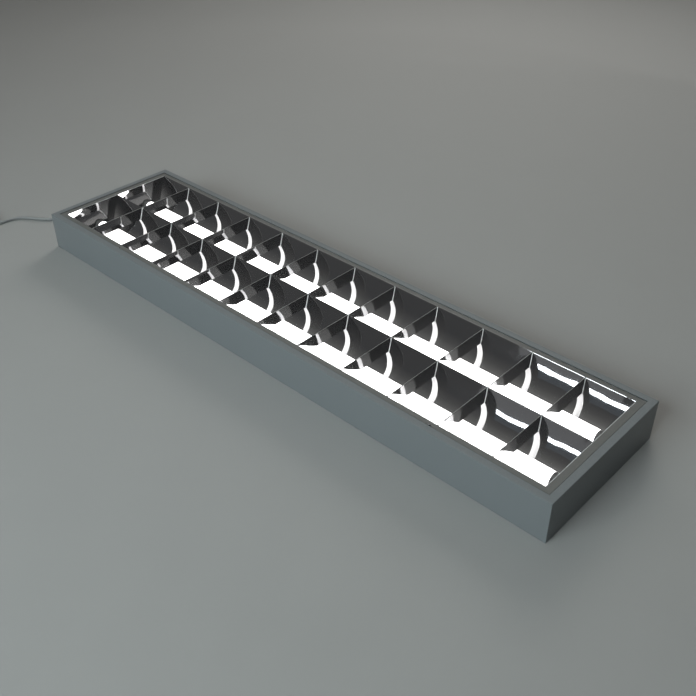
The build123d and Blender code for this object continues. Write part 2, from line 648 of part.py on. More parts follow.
def led_board(row):
    """Flat board inside the sleeve, its edges resting on the sleeve's inside."""
    inside = TUBE_RADIUS - TUBE_WALL - SEAT_GAP
    low = -LED_BOARD_DROP - LED_BOARD_SHEET
    half = math.sqrt(inside ** 2 - low ** 2)
    reach = TUBE_LENGTH / 2 - CAP_LENGTH - CAP_SPIGOT - SEAT_GAP
    board = block((-reach, reach), (-half, half), (low, low + LED_BOARD_SHEET))
    return Pos(0, row * TUBE_Y, TUBE_AXIS_HEIGHT) * board


# ---------------------------------------------------------------- hinges and catches
def hinge_bracket(x):
    """Fixed half of a hinge: foot on the far wall, leg inwards, and one eye."""
    low = HINGE_Z - HINGE_LEG_DROP
    half = HINGE_SHEET / 2
    profile = Circle(HINGE_PIN_RADIUS + HINGE_PLAY + HINGE_SHEET)
    profile += rectangle((-half, -HINGE_LEG_DROP), (half, 0))
    wall = WALL_INSIDE - HINGE_Y
    profile += rectangle(
        (-half, -HINGE_LEG_DROP), (wall, -HINGE_LEG_DROP + HINGE_SHEET))
    profile += rectangle(
        (wall - HINGE_SHEET, -HINGE_LEG_DROP - HINGE_FOOT_HEIGHT), (wall, -HINGE_LEG_DROP))
    profile -= Circle(HINGE_PIN_RADIUS + HINGE_PLAY)
    profile = Pos(HINGE_Y, HINGE_Z) * profile
    return Pos(x, 0, 0) * along_x(profile, HINGE_EYE_WIDTH / 2)


def hinge_clip(x):
    """Moving half of a hinge: leaf under the louvre's flange with two eyes."""
    under = HINGE_DROP - LOUVRE_SHEET
    leaf_y = (-HINGE_INSET + LOUVRE_SHEET + SEAT_GAP, HINGE_INSET - LOUVRE_SHEET - SEAT_GAP)
    leaf = rectangle((leaf_y[0], under - HINGE_CLIP_SHEET), (leaf_y[1], under))
    eye = Circle(HINGE_PIN_RADIUS + HINGE_CLIP_SHEET)
    eye += rectangle((-HINGE_CLIP_SHEET, 0), (HINGE_CLIP_SHEET, under))
    eye -= Circle(HINGE_PIN_RADIUS)
    half = HINGE_PIN_LENGTH / 2
    inner = HINGE_EYE_WIDTH / 2 + HINGE_SIDE_PLAY
    place = Pos(HINGE_Y, HINGE_Z)
    clip = along_x(place * leaf, half)
    for low, high in ((-half, -inner), (inner, half)):
        clip += extrude(Plane.YZ.offset(low) * (place * eye), high - low)
    return Pos(x, 0, 0) * clip


def hinge_pin(x):
    half = HINGE_PIN_LENGTH / 2
    return rod((x - half, HINGE_Y, HINGE_Z), (x + half, HINGE_Y, HINGE_Z), HINGE_PIN_RADIUS)


def louvre_catch(x):
    """Spring leaf on the near wall, its nose just off the skirt, and a ledge below the skirt."""
    nose_y = LOUVRE_HALF_Y + CATCH_GAP + CATCH_SHEET / 2
    foot_y = WALL_INSIDE - CATCH_SHEET / 2
    nose_z = LOUVRE_TOP - SKIRT_HEIGHT / 2
    low = nose_z - CATCH_RISE
    line = FilletPolyline(
        (foot_y, low - CATCH_FOOT_HEIGHT), (foot_y, low), (nose_y, nose_z),
        (nose_y + LIP_WIDTH / 4, nose_z + SKIRT_HEIGHT / 4), radius=2 * CATCH_SHEET)
    leaf = along_x(trace(line, line_width=CATCH_SHEET), CATCH_WIDTH / 2)
    seat = LOUVRE_TOP - SKIRT_HEIGHT - REST_GAP
    rest = rectangle((LOUVRE_HALF_Y - REST_REACH, seat - HOUSING_SHEET), (WALL_INSIDE, seat))
    rest += rectangle((WALL_INSIDE - HOUSING_SHEET, low - CATCH_FOOT_HEIGHT), (WALL_INSIDE, seat))
    ledge = Pos((CATCH_WIDTH + REST_WIDTH) / 2 + 1, 0, 0) * along_x(rest, REST_WIDTH / 2)
    return [Pos(x, 0, 0) * mirror(piece, Plane.XZ) for piece in (leaf, ledge)]


# ---------------------------------------------------------------- wiring
def pole_places():
    return (-BLOCK_PITCH, 0, BLOCK_PITCH)


def terminal_height():
    return TRAY_TOP + BLOCK_BASE + 2 * WIRE_RADIUS


def terminal_block():
    """Three-pole block: a low base with one rounded tower for each pole."""
    half_x = BLOCK_LENGTH / 2
    width = BLOCK_PITCH * 1.5
    body = block((-half_x, half_x), (-width, width), (0, BLOCK_BASE))
    tower = Rot(0, 90, 0) * Cylinder(BLOCK_PITCH * 0.42, BLOCK_LENGTH)
    for y in pole_places():
        post = block(
            (-half_x, half_x), (y - BLOCK_PITCH * 0.42, y + BLOCK_PITCH * 0.42),
            (0, BLOCK_BASE + 2 * WIRE_RADIUS))
        body += post + Pos(0, y, BLOCK_BASE + 2 * WIRE_RADIUS) * tower
        chimney = BLOCK_PITCH * 0.3
        for x in (-half_x / 2, half_x / 2):
            body += Pos(x, y, BLOCK_HEIGHT / 2) * Cylinder(chimney, BLOCK_HEIGHT)
            body -= Pos(x, y, BLOCK_HEIGHT) * Cylinder(SCREW_RADIUS, BLOCK_BASE)
        for side in (-1, 1):
            body -= Pos(side * half_x, y, BLOCK_BASE + 2 * WIRE_RADIUS) * Rot(0, 90, 0) * Cylinder(
                2 * WIRE_RADIUS + SCREW_PLAY, BLOCK_BASE)
    return Pos(BLOCK_X, 0, TRAY_TOP) * body


def wiring_screws():
    """Grub screws of the block, clamp screws, and the earth screw with its washer."""
    screws = [earth_screw(), *clamp_screws()]
    top = BLOCK_HEIGHT - BLOCK_BASE / 2
    for y in pole_places():
        for x in (-BLOCK_LENGTH / 4, BLOCK_LENGTH / 4):
            screw = Pos(x, y, top + 0.75) * Cylinder(SCREW_RADIUS - SEAT_GAP, 1.5)
            screw -= Pos(x, y, top + 1.5) * Box(2 * SCREW_RADIUS, 0.6, 1)
            screws.append(Pos(BLOCK_X, 0, TRAY_TOP) * screw)
    return Compound(children=screws)


def earth_screw():
    """Screw and washer that bond the earth wire to the tray."""
    seat = TRAY_TOP + 1
    washer = Pos(EARTH_SCREW_X, 0, TRAY_TOP + 0.5) * Cylinder(SCREW_HEAD_RADIUS + 1, 1)
    return washer + pan_screw(EARTH_SCREW_X, 0, seat, seat - HOUSING_SHEET - 1)


def earth_wire():
    """From the middle pole to the earth screw's washer."""
    z = terminal_height()
    start = BLOCK_X + BLOCK_LENGTH / 2
    end = EARTH_SCREW_X - SCREW_HEAD_RADIUS - 1 - SEAT_GAP
    level = TRAY_TOP + WIRE_RADIUS
    middle = (start + end) / 2
    return wire_run([
        (start, 0, z), (middle - WIRE_BEND, 0, z), (middle + WIRE_BEND, 0, level), (end, 0, level)])


def cord_cores():
    """Three cores from the cord's sheath to the terminal block."""
    z = terminal_height()
    end = BLOCK_X - BLOCK_LENGTH / 2
    spread = CORD_RADIUS - WIRE_RADIUS - SEAT_GAP
    step = 2 * WIRE_BEND
    cores = []
    for side in (-1, 0, 1):
        y = side * spread
        height = CORD_HEIGHT if side else CORD_HEIGHT + spread / 2
        pole = side * BLOCK_PITCH
        cores.append(wire_run([
            (CORD_SHEATH_END, y, height), (CORD_SHEATH_END + step, y, height),
            (end - step, pole, z), (end, pole, z)]))
    return Compound(children=cores)


def lamp_wires():
    """A live and a neutral wire to each left lampholder, under the louvre's spine."""
    z = terminal_height()
    start = BLOCK_X + BLOCK_LENGTH / 2
    middle = -(HOLDER_FACE + HOLDER_DEPTH / 2)
    apart = WIRE_RADIUS + SEAT_GAP
    wires = []
    for pole_side, height in zip((-1, 1), wire_heights()):
        for row in (-1, 1):
            crosses = pole_side != row
            over = crosses and pole_side < 0
            y = pole_side * BLOCK_PITCH + row * apart
            out = start + WIRE_BEND * ((3.5 if over else 5.5) if crosses else 2.5)
            lane = row * (2.3 * BLOCK_PITCH + (2 * WIRE_BEND if crosses else 0))
            rise = z + (4 * WIRE_RADIUS if over else 0)
            wires.append(wire_run([
                (start, y, z), (out, y, rise), (out, lane, rise),
                (middle, lane, height), (middle, row * (TUBE_Y - HOLDER_HALF_WIDTH), height)]))
    return Compound(children=wires)


def cord_clamp():
    """Saddle that holds the cord's sheath on the tray."""
    base = CORD_HEIGHT - TRAY_TOP
    body = block(
        (-CLAMP_LENGTH / 2, CLAMP_LENGTH / 2), (-CLAMP_HALF_WIDTH, CLAMP_HALF_WIDTH), (0, base))
    body += Pos(0, 0, base) * Rot(0, 90, 0) * Cylinder(CORD_RADIUS + 2, CLAMP_LENGTH)
    body -= Pos(0, 0, base) * Rot(0, 90, 0) * Cylinder(CORD_RADIUS, CLAMP_LENGTH + 2)
    edge = CLAMP_HALF_WIDTH - SCREW_HEAD_RADIUS
    for y in (-edge, edge):
        body -= Pos(0, y, base) * Cylinder(SCREW_RADIUS + SCREW_PLAY, base + 1)
    return Pos(CLAMP_X, 0, TRAY_TOP) * body


def clamp_screws():
    edge = CLAMP_HALF_WIDTH - SCREW_HEAD_RADIUS
    base = CORD_HEIGHT - TRAY_TOP
    return [pan_screw(CLAMP_X, y, CORD_HEIGHT, base / 2) for y in (-edge, edge)]


# ---------------------------------------------------------------- mains cord
def cord_boot():
    """Tapered strain relief: flange inside the end plate, neck, and tapered sleeve."""
    profile = make_face(Polyline(
        (CORD_RADIUS, -BOOT_FLANGE - HOUSING_SHEET),
        (BOOT_ROOT_RADIUS, -BOOT_FLANGE - HOUSING_SHEET),
        (BOOT_ROOT_RADIUS, -HOUSING_SHEET),
        (BOOT_NECK_RADIUS, -HOUSING_SHEET),
        (BOOT_NECK_RADIUS, 0),
        (BOOT_ROOT_RADIUS, 0),
        (BOOT_ROOT_RADIUS, BOOT_FLANGE),
        (BOOT_TIP_RADIUS, BOOT_LENGTH),
        (CORD_RADIUS, BOOT_LENGTH),
        close=True))
    solid = revolve(Plane.XZ * profile, Axis.Z)
    return Pos(-HALF_LENGTH, 0, CORD_HEIGHT) * Rot(0, -90, 0) * solid


def cord_sheath():
    """Sheathed cord inside the housing, from the end plate to past the clamp."""
    return rod((-HALF_LENGTH, 0, CORD_HEIGHT), (CORD_SHEATH_END, 0, CORD_HEIGHT), CORD_RADIUS)


def cord_lead():
    radii = bend_radii(LEAD_ROUTE)
    print("lead radii", [round(radius) for radius in radii])
    path = FilletPolyline(*LEAD_ROUTE, radius=radii)
    return tube_along(path, CORD_RADIUS), path.length


def coil_frame():
    """Centre of the coil: the first turn starts at its right, towards -Y."""
    return COIL_START[0] - COIL_RADIUS, COIL_START[1]


def coil_point(turns):
    """Point on the coil's centre line: in at a steady rate, up a layer, and out again."""
    centre_x, centre_y = coil_frame()
    inwards = min(turns, COIL_TURNS_IN) - max(turns - COIL_TURNS_IN, 0)
    radius = COIL_RADIUS - COIL_PITCH * inwards
    climb = min(max((turns - COIL_TURNS_IN) * 2 + 0.5, 0), 1)
    height = CORD_LIE + COIL_PITCH * (3 * climb ** 2 - 2 * climb ** 3)
    angle = -2 * math.pi * turns
    return Vector(
        centre_x + radius * math.cos(angle), centre_y + radius * math.sin(angle), height)


def coil_direction(turns):
    """Unit tangent of the coil: straight out at its two ends."""
    if turns in (0, COIL_TURNS_IN + COIL_TURNS_OUT):
        return Vector(0, -1, 0)
    step = 1e-4
    return (coil_point(turns + step) - coil_point(turns - step)).normalized()


def arc_from(start, direction, end):
    """The arc that leaves a point in a direction and ends at another point."""
    chord = end - start
    bulge = (chord.normalized() - direction).normalized()
    half_turn = math.radians(direction.get_angle(chord))
    if half_turn < 1e-6:
        return Line(start, end)
    depth = chord.length / 2 * math.tan(half_turn / 2)
    across = (direction - chord.normalized() * direction.dot(chord.normalized())).normalized()
    return ThreePointArc(start, start + chord * 0.5 + across * depth, end)


def biarc(start, start_way, end, end_way):
    """Two arcs that join two points and keep both directions."""
    span = end - start
    ways = start_way + end_way
    bend = 2 * (1 - start_way.dot(end_way))
    along = span.dot(ways)
    reach = (-along + math.sqrt(along ** 2 + bend * span.dot(span))) / bend
    middle = (start + end + (start_way - end_way) * reach) * 0.5
    first = arc_from(start, start_way, middle)
    return [first, arc_from(middle, first % 1, end)]


def coil_path():
    total = COIL_TURNS_IN + COIL_TURNS_OUT
    count = round(total * COIL_ARCS_PER_TURN)
    marks = [total * i / count for i in range(count + 1)]
    straight = 2 * CORD_RADIUS
    edges = [Line(coil_point(0) + Vector(0, straight, 0), coil_point(0))]
    for low, high in zip(marks, marks[1:]):
        edges += biarc(coil_point(low), coil_direction(low), coil_point(high), coil_direction(high))
    last = coil_point(total)
    edges.append(Line(last, last + Vector(0, -straight, 0)))
    return Wire(edges)


def least_gap(samples=480):
    """Smallest gap between turns of the coil that are half a turn or more apart."""
    total = COIL_TURNS_IN + COIL_TURNS_OUT
    points = [coil_point(total * i / samples) for i in range(samples + 1)]
    apart = int(samples / total / 2)
    nearest = min(
        (points[i] - points[j]).length
        for i in range(len(points)) for j in range(i + apart, len(points)))
    return nearest - 2 * CORD_RADIUS


def cord_coil():
    path = coil_path()
    print("coil gap to itself %.2f" % least_gap())
    return tube_along(path, CORD_RADIUS), path.length


def tail_route():
    """From the coil's last turn up to the plug's rear."""
    last = coil_point(COIL_TURNS_IN + COIL_TURNS_OUT) + Vector(0, -2 * CORD_RADIUS, 0)
    rise = PLUG_RADIUS - last.Z
    points = [last]
    for x, y, z in TAIL_RUNS:
        points.append(points[-1] + Vector(x, y, rise if z else 0))
    return points


def cord_tail():
    points = [tuple(point) for point in tail_route()]
    radii = bend_radii(points)
    print("tail radii", [round(radius) for radius in radii])
    path = FilletPolyline(*points, radius=radii)
    return tube_along(path, CORD_RADIUS), path.length


def plug_plane():
    """Plane at the plug's rear, its normal along the plug towards the pins."""
    points = tail_route()
    way = (points[-1] - points[-2]).normalized()
    return Plane(origin=points[-1], z_dir=way, x_dir=(0, 0, 1))


def plug_body():
    """Round earthed plug: tapered boot, shoulder, body, grip ribs and side grooves."""
    shoulder = PLUG_BOOT_LENGTH + PLUG_SHOULDER
    front = shoulder + PLUG_BODY_LENGTH
    profile = make_face([
        Polyline((0, 0), (PLUG_BOOT_RADIUS, 0), (PLUG_BOOT_RADIUS + 2, PLUG_BOOT_LENGTH)),
        Bezier((PLUG_BOOT_RADIUS + 2, PLUG_BOOT_LENGTH), (PLUG_RADIUS - 1, PLUG_BOOT_LENGTH),
               (PLUG_RADIUS, shoulder)),
        Polyline((PLUG_RADIUS, shoulder), (PLUG_RADIUS, front - 1), (PLUG_RADIUS - 1, front),
                 (0, front), (0, 0)),
    ])
    body = revolve(Plane.XZ * profile, Axis.Z)
    for side in (-1, 1):
        groove = side * (PLUG_RADIUS - PLUG_CLIP_SHEET)
        body -= block(
            sorted((groove, side * (PLUG_RADIUS + 1))), (-PLUG_CLIP_WIDTH / 2, PLUG_CLIP_WIDTH / 2),
            (front - PLUG_CLIP_LENGTH, front + 1))
        keyway = side * (PLUG_RADIUS - 2)
        body -= block(
            (-3, 3), sorted((keyway, side * (PLUG_RADIUS + 1))), (front - 16, front + 1))
    for x in (-PLUG_PIN_SPACING / 2, PLUG_PIN_SPACING / 2):
        body -= Pos(0, x, front) * Cylinder(PLUG_ROOT_RADIUS, 2 * PLUG_PIN_ROOT)
    return plug_plane().location * body


def plug_contacts():
    """Two round pins and the two earth strips let into the plug's sides."""
    front = PLUG_BOOT_LENGTH + PLUG_SHOULDER + PLUG_BODY_LENGTH
    contacts = []
    for side in (-1, 1):
        y = side * PLUG_PIN_SPACING / 2
        pin = Pos(0, y, front + PLUG_PIN_LENGTH / 2) * Cylinder(PLUG_PIN_RADIUS, PLUG_PIN_LENGTH)
        pin = fillet(pin.edges().group_by(Axis.Z)[-1], PLUG_PIN_RADIUS * 0.6)
        pin += Pos(0, y, front - PLUG_PIN_ROOT / 2) * Cylinder(PLUG_ROOT_RADIUS, PLUG_PIN_ROOT)
        low = side * (PLUG_RADIUS - PLUG_CLIP_SHEET)
        outer = side * math.sqrt(PLUG_RADIUS ** 2 - (PLUG_CLIP_WIDTH / 2) ** 2)
        clip = block(
            sorted((low, outer)), (-PLUG_CLIP_WIDTH / 2 + SEAT_GAP, PLUG_CLIP_WIDTH / 2 - SEAT_GAP),
            (front - PLUG_CLIP_LENGTH, front))
        contacts += [plug_plane().location * pin, plug_plane().location * clip]
    return Compound(children=contacts)


# ---------------------------------------------------------------- all nodes
def all_nodes():
    """Every sub-part, keyed by its node name."""
    nodes = {
        "housing_channel": housing_channel(),
        "end_plate_right": end_plate(),
        "end_plate_left": end_plate_with_entry(),
        "lamp_tray": lamp_tray(),
        "tray_bosses": tray_bosses(),
        "tray_screws": tray_screws(),
        "louvre_side_far": far_side_with_windows(),
        "louvre_side_near": near_side_with_notches(),
        "louvre_spine": louvre_spine(),
        "louvre_end_right": louvre_end(),
        "louvre_end_left": mirror(louvre_end(), Plane.YZ),
        "terminal_block": terminal_block(),
        "wiring_screws": wiring_screws(),
        "earth_wire": earth_wire(),
        "lamp_wires": lamp_wires(),
        "cord_clamp": cord_clamp(),
        "cord_cores": cord_cores(),
        "cord_sheath": cord_sheath(),
        "cord_boot": cord_boot(),
        "plug_body": plug_body(),
        "plug_contacts": plug_contacts(),
    }
    for number, x in enumerate(BLADE_X, start=1):
        nodes[f"cross_blade_{number:02d}"] = cross_blade(x)
    for name, end, row in holder_places():
        nodes[f"lampholder_{name}"] = lampholder(end, row)
        nodes[f"rotor_{name}"] = rotor(end, row)
        nodes[f"tube_cap_{name}"] = capped(tube_cap(end, row), row, end)
    for name, row in (("near", -1), ("far", 1)):
        nodes[f"tube_sleeve_{name}"] = tube_sleeve(row)
        nodes[f"tube_pins_{name}"] = tube_pins(row)
        nodes[f"led_board_{name}"] = led_board(row)
    for name, x in (("left", -HINGE_X), ("right", HINGE_X)):
        nodes[f"hinge_bracket_{name}"] = hinge_bracket(x)
        nodes[f"hinge_clip_{name}"] = hinge_clip(x)
        nodes[f"hinge_pin_{name}"] = hinge_pin(x)
    catches = louvre_catch(-CATCH_X) + louvre_catch(CATCH_X)
    nodes["louvre_catches"] = Compound(children=catches)
    lengths = []
    for name, maker in (("cord_lead", cord_lead), ("cord_coil", cord_coil), ("cord_tail", cord_tail)):
        nodes[name], length = maker()
        ideal = math.pi * CORD_RADIUS ** 2 * length
        print("%s length %.1f, volume over section x length %.4f"
              % (name, length, nodes[name].volume / ideal))
        lengths.append(length)
    print("cord length %.0f" % sum(lengths))
    return nodes


os.makedirs("parts", exist_ok=True)
for node_name, shape in all_nodes().items():
    export_step(shape, f"parts/{node_name}.step")
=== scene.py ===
"""Louvre light lying on its back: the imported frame, dressed for rendering.

Metres, +Z up, +X along the tubes towards the plain end, +Y towards the hinge side.
"""
import itertools
import math

import bmesh
import bpy
from mathutils import Matrix, Vector


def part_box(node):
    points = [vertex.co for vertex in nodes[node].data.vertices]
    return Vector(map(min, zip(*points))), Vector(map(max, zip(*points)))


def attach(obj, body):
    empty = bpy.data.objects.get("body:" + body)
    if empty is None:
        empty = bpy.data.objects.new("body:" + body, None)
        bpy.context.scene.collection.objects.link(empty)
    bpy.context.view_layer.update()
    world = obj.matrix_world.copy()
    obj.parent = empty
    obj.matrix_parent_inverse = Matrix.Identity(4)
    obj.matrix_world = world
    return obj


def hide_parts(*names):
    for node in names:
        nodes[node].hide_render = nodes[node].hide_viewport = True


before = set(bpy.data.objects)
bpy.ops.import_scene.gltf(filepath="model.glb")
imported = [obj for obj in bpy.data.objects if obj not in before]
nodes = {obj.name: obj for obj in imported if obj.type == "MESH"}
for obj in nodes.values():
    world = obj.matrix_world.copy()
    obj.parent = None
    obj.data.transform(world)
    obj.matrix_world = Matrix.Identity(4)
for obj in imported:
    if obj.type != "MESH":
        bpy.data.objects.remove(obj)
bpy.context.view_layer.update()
MM = 0.001


def mm(*values):
    """Millimetres to a vector in metres."""
    return Vector(values) * MM


# ---------------------------------------------------------------- camera
# Fitted to the housing's corners and the blades' ends in the photograph.
PHOTO_PIXELS = 696
SENSOR_WIDTH = 36
FOCAL_PIXELS = 899.545
AZIMUTH, ELEVATION, ROLL = 43.344, 36.047, -0.343
DISTANCE = 1635.633 * MM
AIM = mm(96.663, 2.641, 0)


def photo_camera():
    """Camera at the photograph's place, from its azimuth, elevation, distance and roll."""
    azimuth, elevation, roll = (math.radians(a) for a in (AZIMUTH, ELEVATION, ROLL))
    back = Vector((
        math.sin(azimuth) * math.cos(elevation),
        -math.cos(azimuth) * math.cos(elevation),
        math.sin(elevation)))
    level = Vector((math.cos(azimuth), math.sin(azimuth), 0))
    up = back.cross(level)
    side = level * math.cos(roll) + up * math.sin(roll)
    up = back.cross(side)
    data = bpy.data.cameras.new("camera")
    data.sensor_width = SENSOR_WIDTH
    data.lens = SENSOR_WIDTH * FOCAL_PIXELS / PHOTO_PIXELS
    data.clip_end = 100
    camera = bpy.data.objects.new("camera", data)
    turn = Matrix((side, up, back)).transposed().to_4x4()
    camera.matrix_world = Matrix.Translation(AIM + back * DISTANCE) @ turn
    bpy.context.scene.collection.objects.link(camera)
    bpy.context.scene.camera = camera


photo_camera()

# ---------------------------------------------------------------- mains cord
CORD_RADIUS = 3.5 * MM
CORD_LIE = 3.6
HALF_LENGTH = 617.5
CORD_HEIGHT = 15.0
# The same route as the frame's cord, given in millimetres.
LEAD_ROUTE = [
    (-HALF_LENGTH, 0, CORD_HEIGHT),
    (-673, 0, CORD_HEIGHT),
    (-704, -50, 4.6),
    (-733, -101, CORD_LIE),
    (-770, -122, CORD_LIE),
    (-797, -144, CORD_LIE),
    (-801, -180, CORD_LIE),
    (-801, -218, CORD_LIE),
]
COIL_CENTRE = (-843.5, -225.0)
COIL_RADIUS = 42.5
COIL_PITCH = 7.6
COIL_TURNS_IN = 2.25
COIL_TURNS_OUT = 2.75
COIL_POINTS_PER_TURN = 16
TAIL_ROUTE = [(-797.2, -239, 11.2), (-797.2, -256, 11.2), (-794.2, -283, 18.5), (-791.2, -307, 18.5)]


def coil_point(turns):
    """Control point of the coil: in at a steady rate, up a layer, and out again."""
    inwards = min(turns, COIL_TURNS_IN) - max(turns - COIL_TURNS_IN, 0)
    radius = (COIL_RADIUS - COIL_PITCH * inwards) / math.cos(math.pi / COIL_POINTS_PER_TURN)
    climb = min(max((turns - COIL_TURNS_IN) * 2 + 0.5, 0), 1)
    height = CORD_LIE + COIL_PITCH * (3 * climb ** 2 - 2 * climb ** 3)
    angle = -2 * math.pi * turns
    return (
        COIL_CENTRE[0] + radius * math.cos(angle),
        COIL_CENTRE[1] + radius * math.sin(angle), height)


def cord_piece():
    """The whole cord as one smooth curve through its route's control points."""
    steps = round((COIL_TURNS_IN + COIL_TURNS_OUT) * COIL_POINTS_PER_TURN)
    coil = [coil_point(i / COIL_POINTS_PER_TURN) for i in range(steps + 1)]
    route = LEAD_ROUTE + coil + TAIL_ROUTE
    data = bpy.data.curves.new("mains_cord", "CURVE")
    data.dimensions = "3D"
    spline = data.splines.new("NURBS")
    spline.points.add(len(route) - 1)
    for point, place in zip(spline.points, route):
        point.co = (*mm(*place), 1)
    spline.order_u = 3
    spline.use_endpoint_u = True
    data.resolution_u = 6
    data.bevel_depth = CORD_RADIUS
    data.bevel_resolution = 5
    data.use_fill_caps = True
    cord = bpy.data.objects.new("mains_cord", data)
    bpy.context.scene.collection.objects.link(cord)
    return cord


cord = cord_piece()

# ---------------------------------------------------------------- shader building blocks
def node_group(name, inputs, outputs):
    """An empty shader group with named sockets: (name, type, default) and (name, type)."""
    group = bpy.data.node_groups.new(name, "ShaderNodeTree")
    for label, kind, default in inputs:
        socket = group.interface.new_socket(label, in_out="INPUT", socket_type=kind)
        socket.default_value = default
    for label, kind in outputs:
        group.interface.new_socket(label, in_out="OUTPUT", socket_type=kind)
    return group, group.nodes.new("NodeGroupInput"), group.nodes.new("NodeGroupOutput")


def add(tree, kind, **settings):
    """A node with settings; a key that names an input socket sets its value."""
    made = tree.nodes.new(kind)
    for key, value in settings.items():
        label = key.replace("_", " ")
        if label in made.inputs:
            made.inputs[label].default_value = value
        else:
            setattr(made, key, value)
    return made


def value_mix(tree, factor, low, high):
    """A number that goes from low to high with the factor."""
    made = add(tree, "ShaderNodeMapRange")
    tree.links.new(factor, made.inputs["Value"])
    made.inputs["To Min"].default_value = low
    made.inputs["To Max"].default_value = high
    return made.outputs["Result"]


def cloud_group():
    """Large soft blotches, as a mask, with fine grain on top."""
    group, source, sink = node_group(
        "clouds", [("Vector", "NodeSocketVector", (0, 0, 0)), ("Size", "NodeSocketFloat", 12.0)],
        [("Mask", "NodeSocketFloat"), ("Grain", "NodeSocketFloat")])
    broad = add(group, "ShaderNodeTexNoise", Detail=3.0, Roughness=0.55)
    fine = add(group, "ShaderNodeTexNoise", Detail=2.0, Scale=2400.0)
    group.links.new(source.outputs["Vector"], broad.inputs["Vector"])
    group.links.new(source.outputs["Size"], broad.inputs["Scale"])
    group.links.new(source.outputs["Vector"], fine.inputs["Vector"])
    group.links.new(broad.outputs[0], sink.inputs["Mask"])
    group.links.new(fine.outputs[0], sink.inputs["Grain"])
    return group


def rolled_group():
    """Fine lines along X, smudges and slow waves, as rolled and drawn metal has them."""
    group, source, sink = node_group(
        "rolled_lines", [("Vector", "NodeSocketVector", (0, 0, 0)),
                         ("Fineness", "NodeSocketFloat", 900.0)],
        [("Lines", "NodeSocketFloat"), ("Smudge", "NodeSocketFloat"), ("Wave", "NodeSocketFloat")])
    stretch = add(group, "ShaderNodeMapping", Scale=(0.01, 1.0, 1.0))
    lines = add(group, "ShaderNodeTexNoise", Detail=2.0)
    smudge = add(group, "ShaderNodeTexNoise", Scale=22.0, Detail=4.0, Roughness=0.65)
    wave = add(group, "ShaderNodeTexNoise", Scale=32.0, Detail=0.5)
    group.links.new(stretch.outputs[0], lines.inputs["Vector"])
    group.links.new(source.outputs["Fineness"], lines.inputs["Scale"])
    for node in (stretch, smudge, wave):
        group.links.new(source.outputs["Vector"], node.inputs["Vector"])
    for node, label in ((lines, "Lines"), (smudge, "Smudge"), (wave, "Wave")):
        group.links.new(node.outputs[0], sink.inputs[label])
    return group


def dust_group():
    """Thin dust that settles on faces that look up."""
    group, source, sink = node_group(
        "settled_dust", [("Vector", "NodeSocketVector", (0, 0, 0)),
                         ("Amount", "NodeSocketFloat", 0.1)],
        [("Mask", "NodeSocketFloat")])
    geometry = add(group, "ShaderNodeNewGeometry")
    split = add(group, "ShaderNodeSeparateXYZ")
    group.links.new(geometry.outputs["Normal"], split.inputs[0])
    noise = add(group, "ShaderNodeTexNoise", Scale=160.0, Detail=5.0, Roughness=0.7)
    group.links.new(source.outputs["Vector"], noise.inputs["Vector"])
    upward = add(group, "ShaderNodeMapRange")
    upward.inputs["From Min"].default_value = 0.3
    group.links.new(split.outputs["Z"], upward.inputs["Value"])
    speck = add(group, "ShaderNodeMapRange")
    speck.inputs["From Min"].default_value = 0.45
    speck.inputs["From Max"].default_value = 0.75
    group.links.new(noise.outputs[0], speck.inputs["Value"])
    both = add(group, "ShaderNodeMath", operation="MULTIPLY")
    group.links.new(upward.outputs[0], both.inputs[0])
    group.links.new(speck.outputs[0], both.inputs[1])
    scaled = add(group, "ShaderNodeMath", operation="MULTIPLY")
    group.links.new(both.outputs[0], scaled.inputs[0])
    group.links.new(source.outputs["Amount"], scaled.inputs[1])
    group.links.new(scaled.outputs[0], sink.inputs["Mask"])
    return group


CLOUDS = cloud_group()
ROLLED = rolled_group()
DUST = dust_group()
DUST_COLOUR = (0.42, 0.40, 0.37, 1)
GRAIN_HEIGHT = 0.15 * MM
LINE_HEIGHT = 0.05 * MM
FIRST_COLOUR, SECOND_COLOUR, MIXED_COLOUR = 6, 7, 2


def shader(name, **constants):
    """A material with its Principled shader, whose plain values are set on its own sockets."""
    material = bpy.data.materials.new(name)
    material.use_nodes = True
    tree = material.node_tree
    principled = tree.nodes["Principled BSDF"]
    for key, value in constants.items():
        principled.inputs[key.replace("_", " ")].default_value = value
    place = add(tree, "ShaderNodeTexCoord").outputs["Object"]
    return material, tree, principled, place


def use_group(tree, group, place, **values):
    """A shader group in a material's tree, at the material's own coordinates and values."""
    made = add(tree, "ShaderNodeGroup", node_tree=group)
    tree.links.new(place, made.inputs["Vector"])
    for key, value in values.items():
        made.inputs[key].default_value = value
    return made


def colour_mix(tree, factor, first, second):
    """A colour that goes from the first, a colour or a socket, to the second."""
    blend = add(tree, "ShaderNodeMix", data_type="RGBA")
    if isinstance(first, bpy.types.NodeSocket):
        tree.links.new(first, blend.inputs[FIRST_COLOUR])
    else:
        blend.inputs[FIRST_COLOUR].default_value = first
    blend.inputs[SECOND_COLOUR].default_value = second
    tree.links.new(factor, blend.inputs["Factor"])
    return blend.outputs[MIXED_COLOUR]


def blotched(tree, principled, mask, colour, spread, dust=None):
    """Base colour that varies a little with the mask, under a film of dust."""
    low = [c * (1 - spread) for c in colour]
    high = [min(c * (1 + spread), 1) for c in colour]
    result = colour_mix(tree, mask, (*low, 1), (*high, 1))
    if dust:
        result = colour_mix(tree, dust, result, DUST_COLOUR)
    tree.links.new(result, principled.inputs["Base Color"])


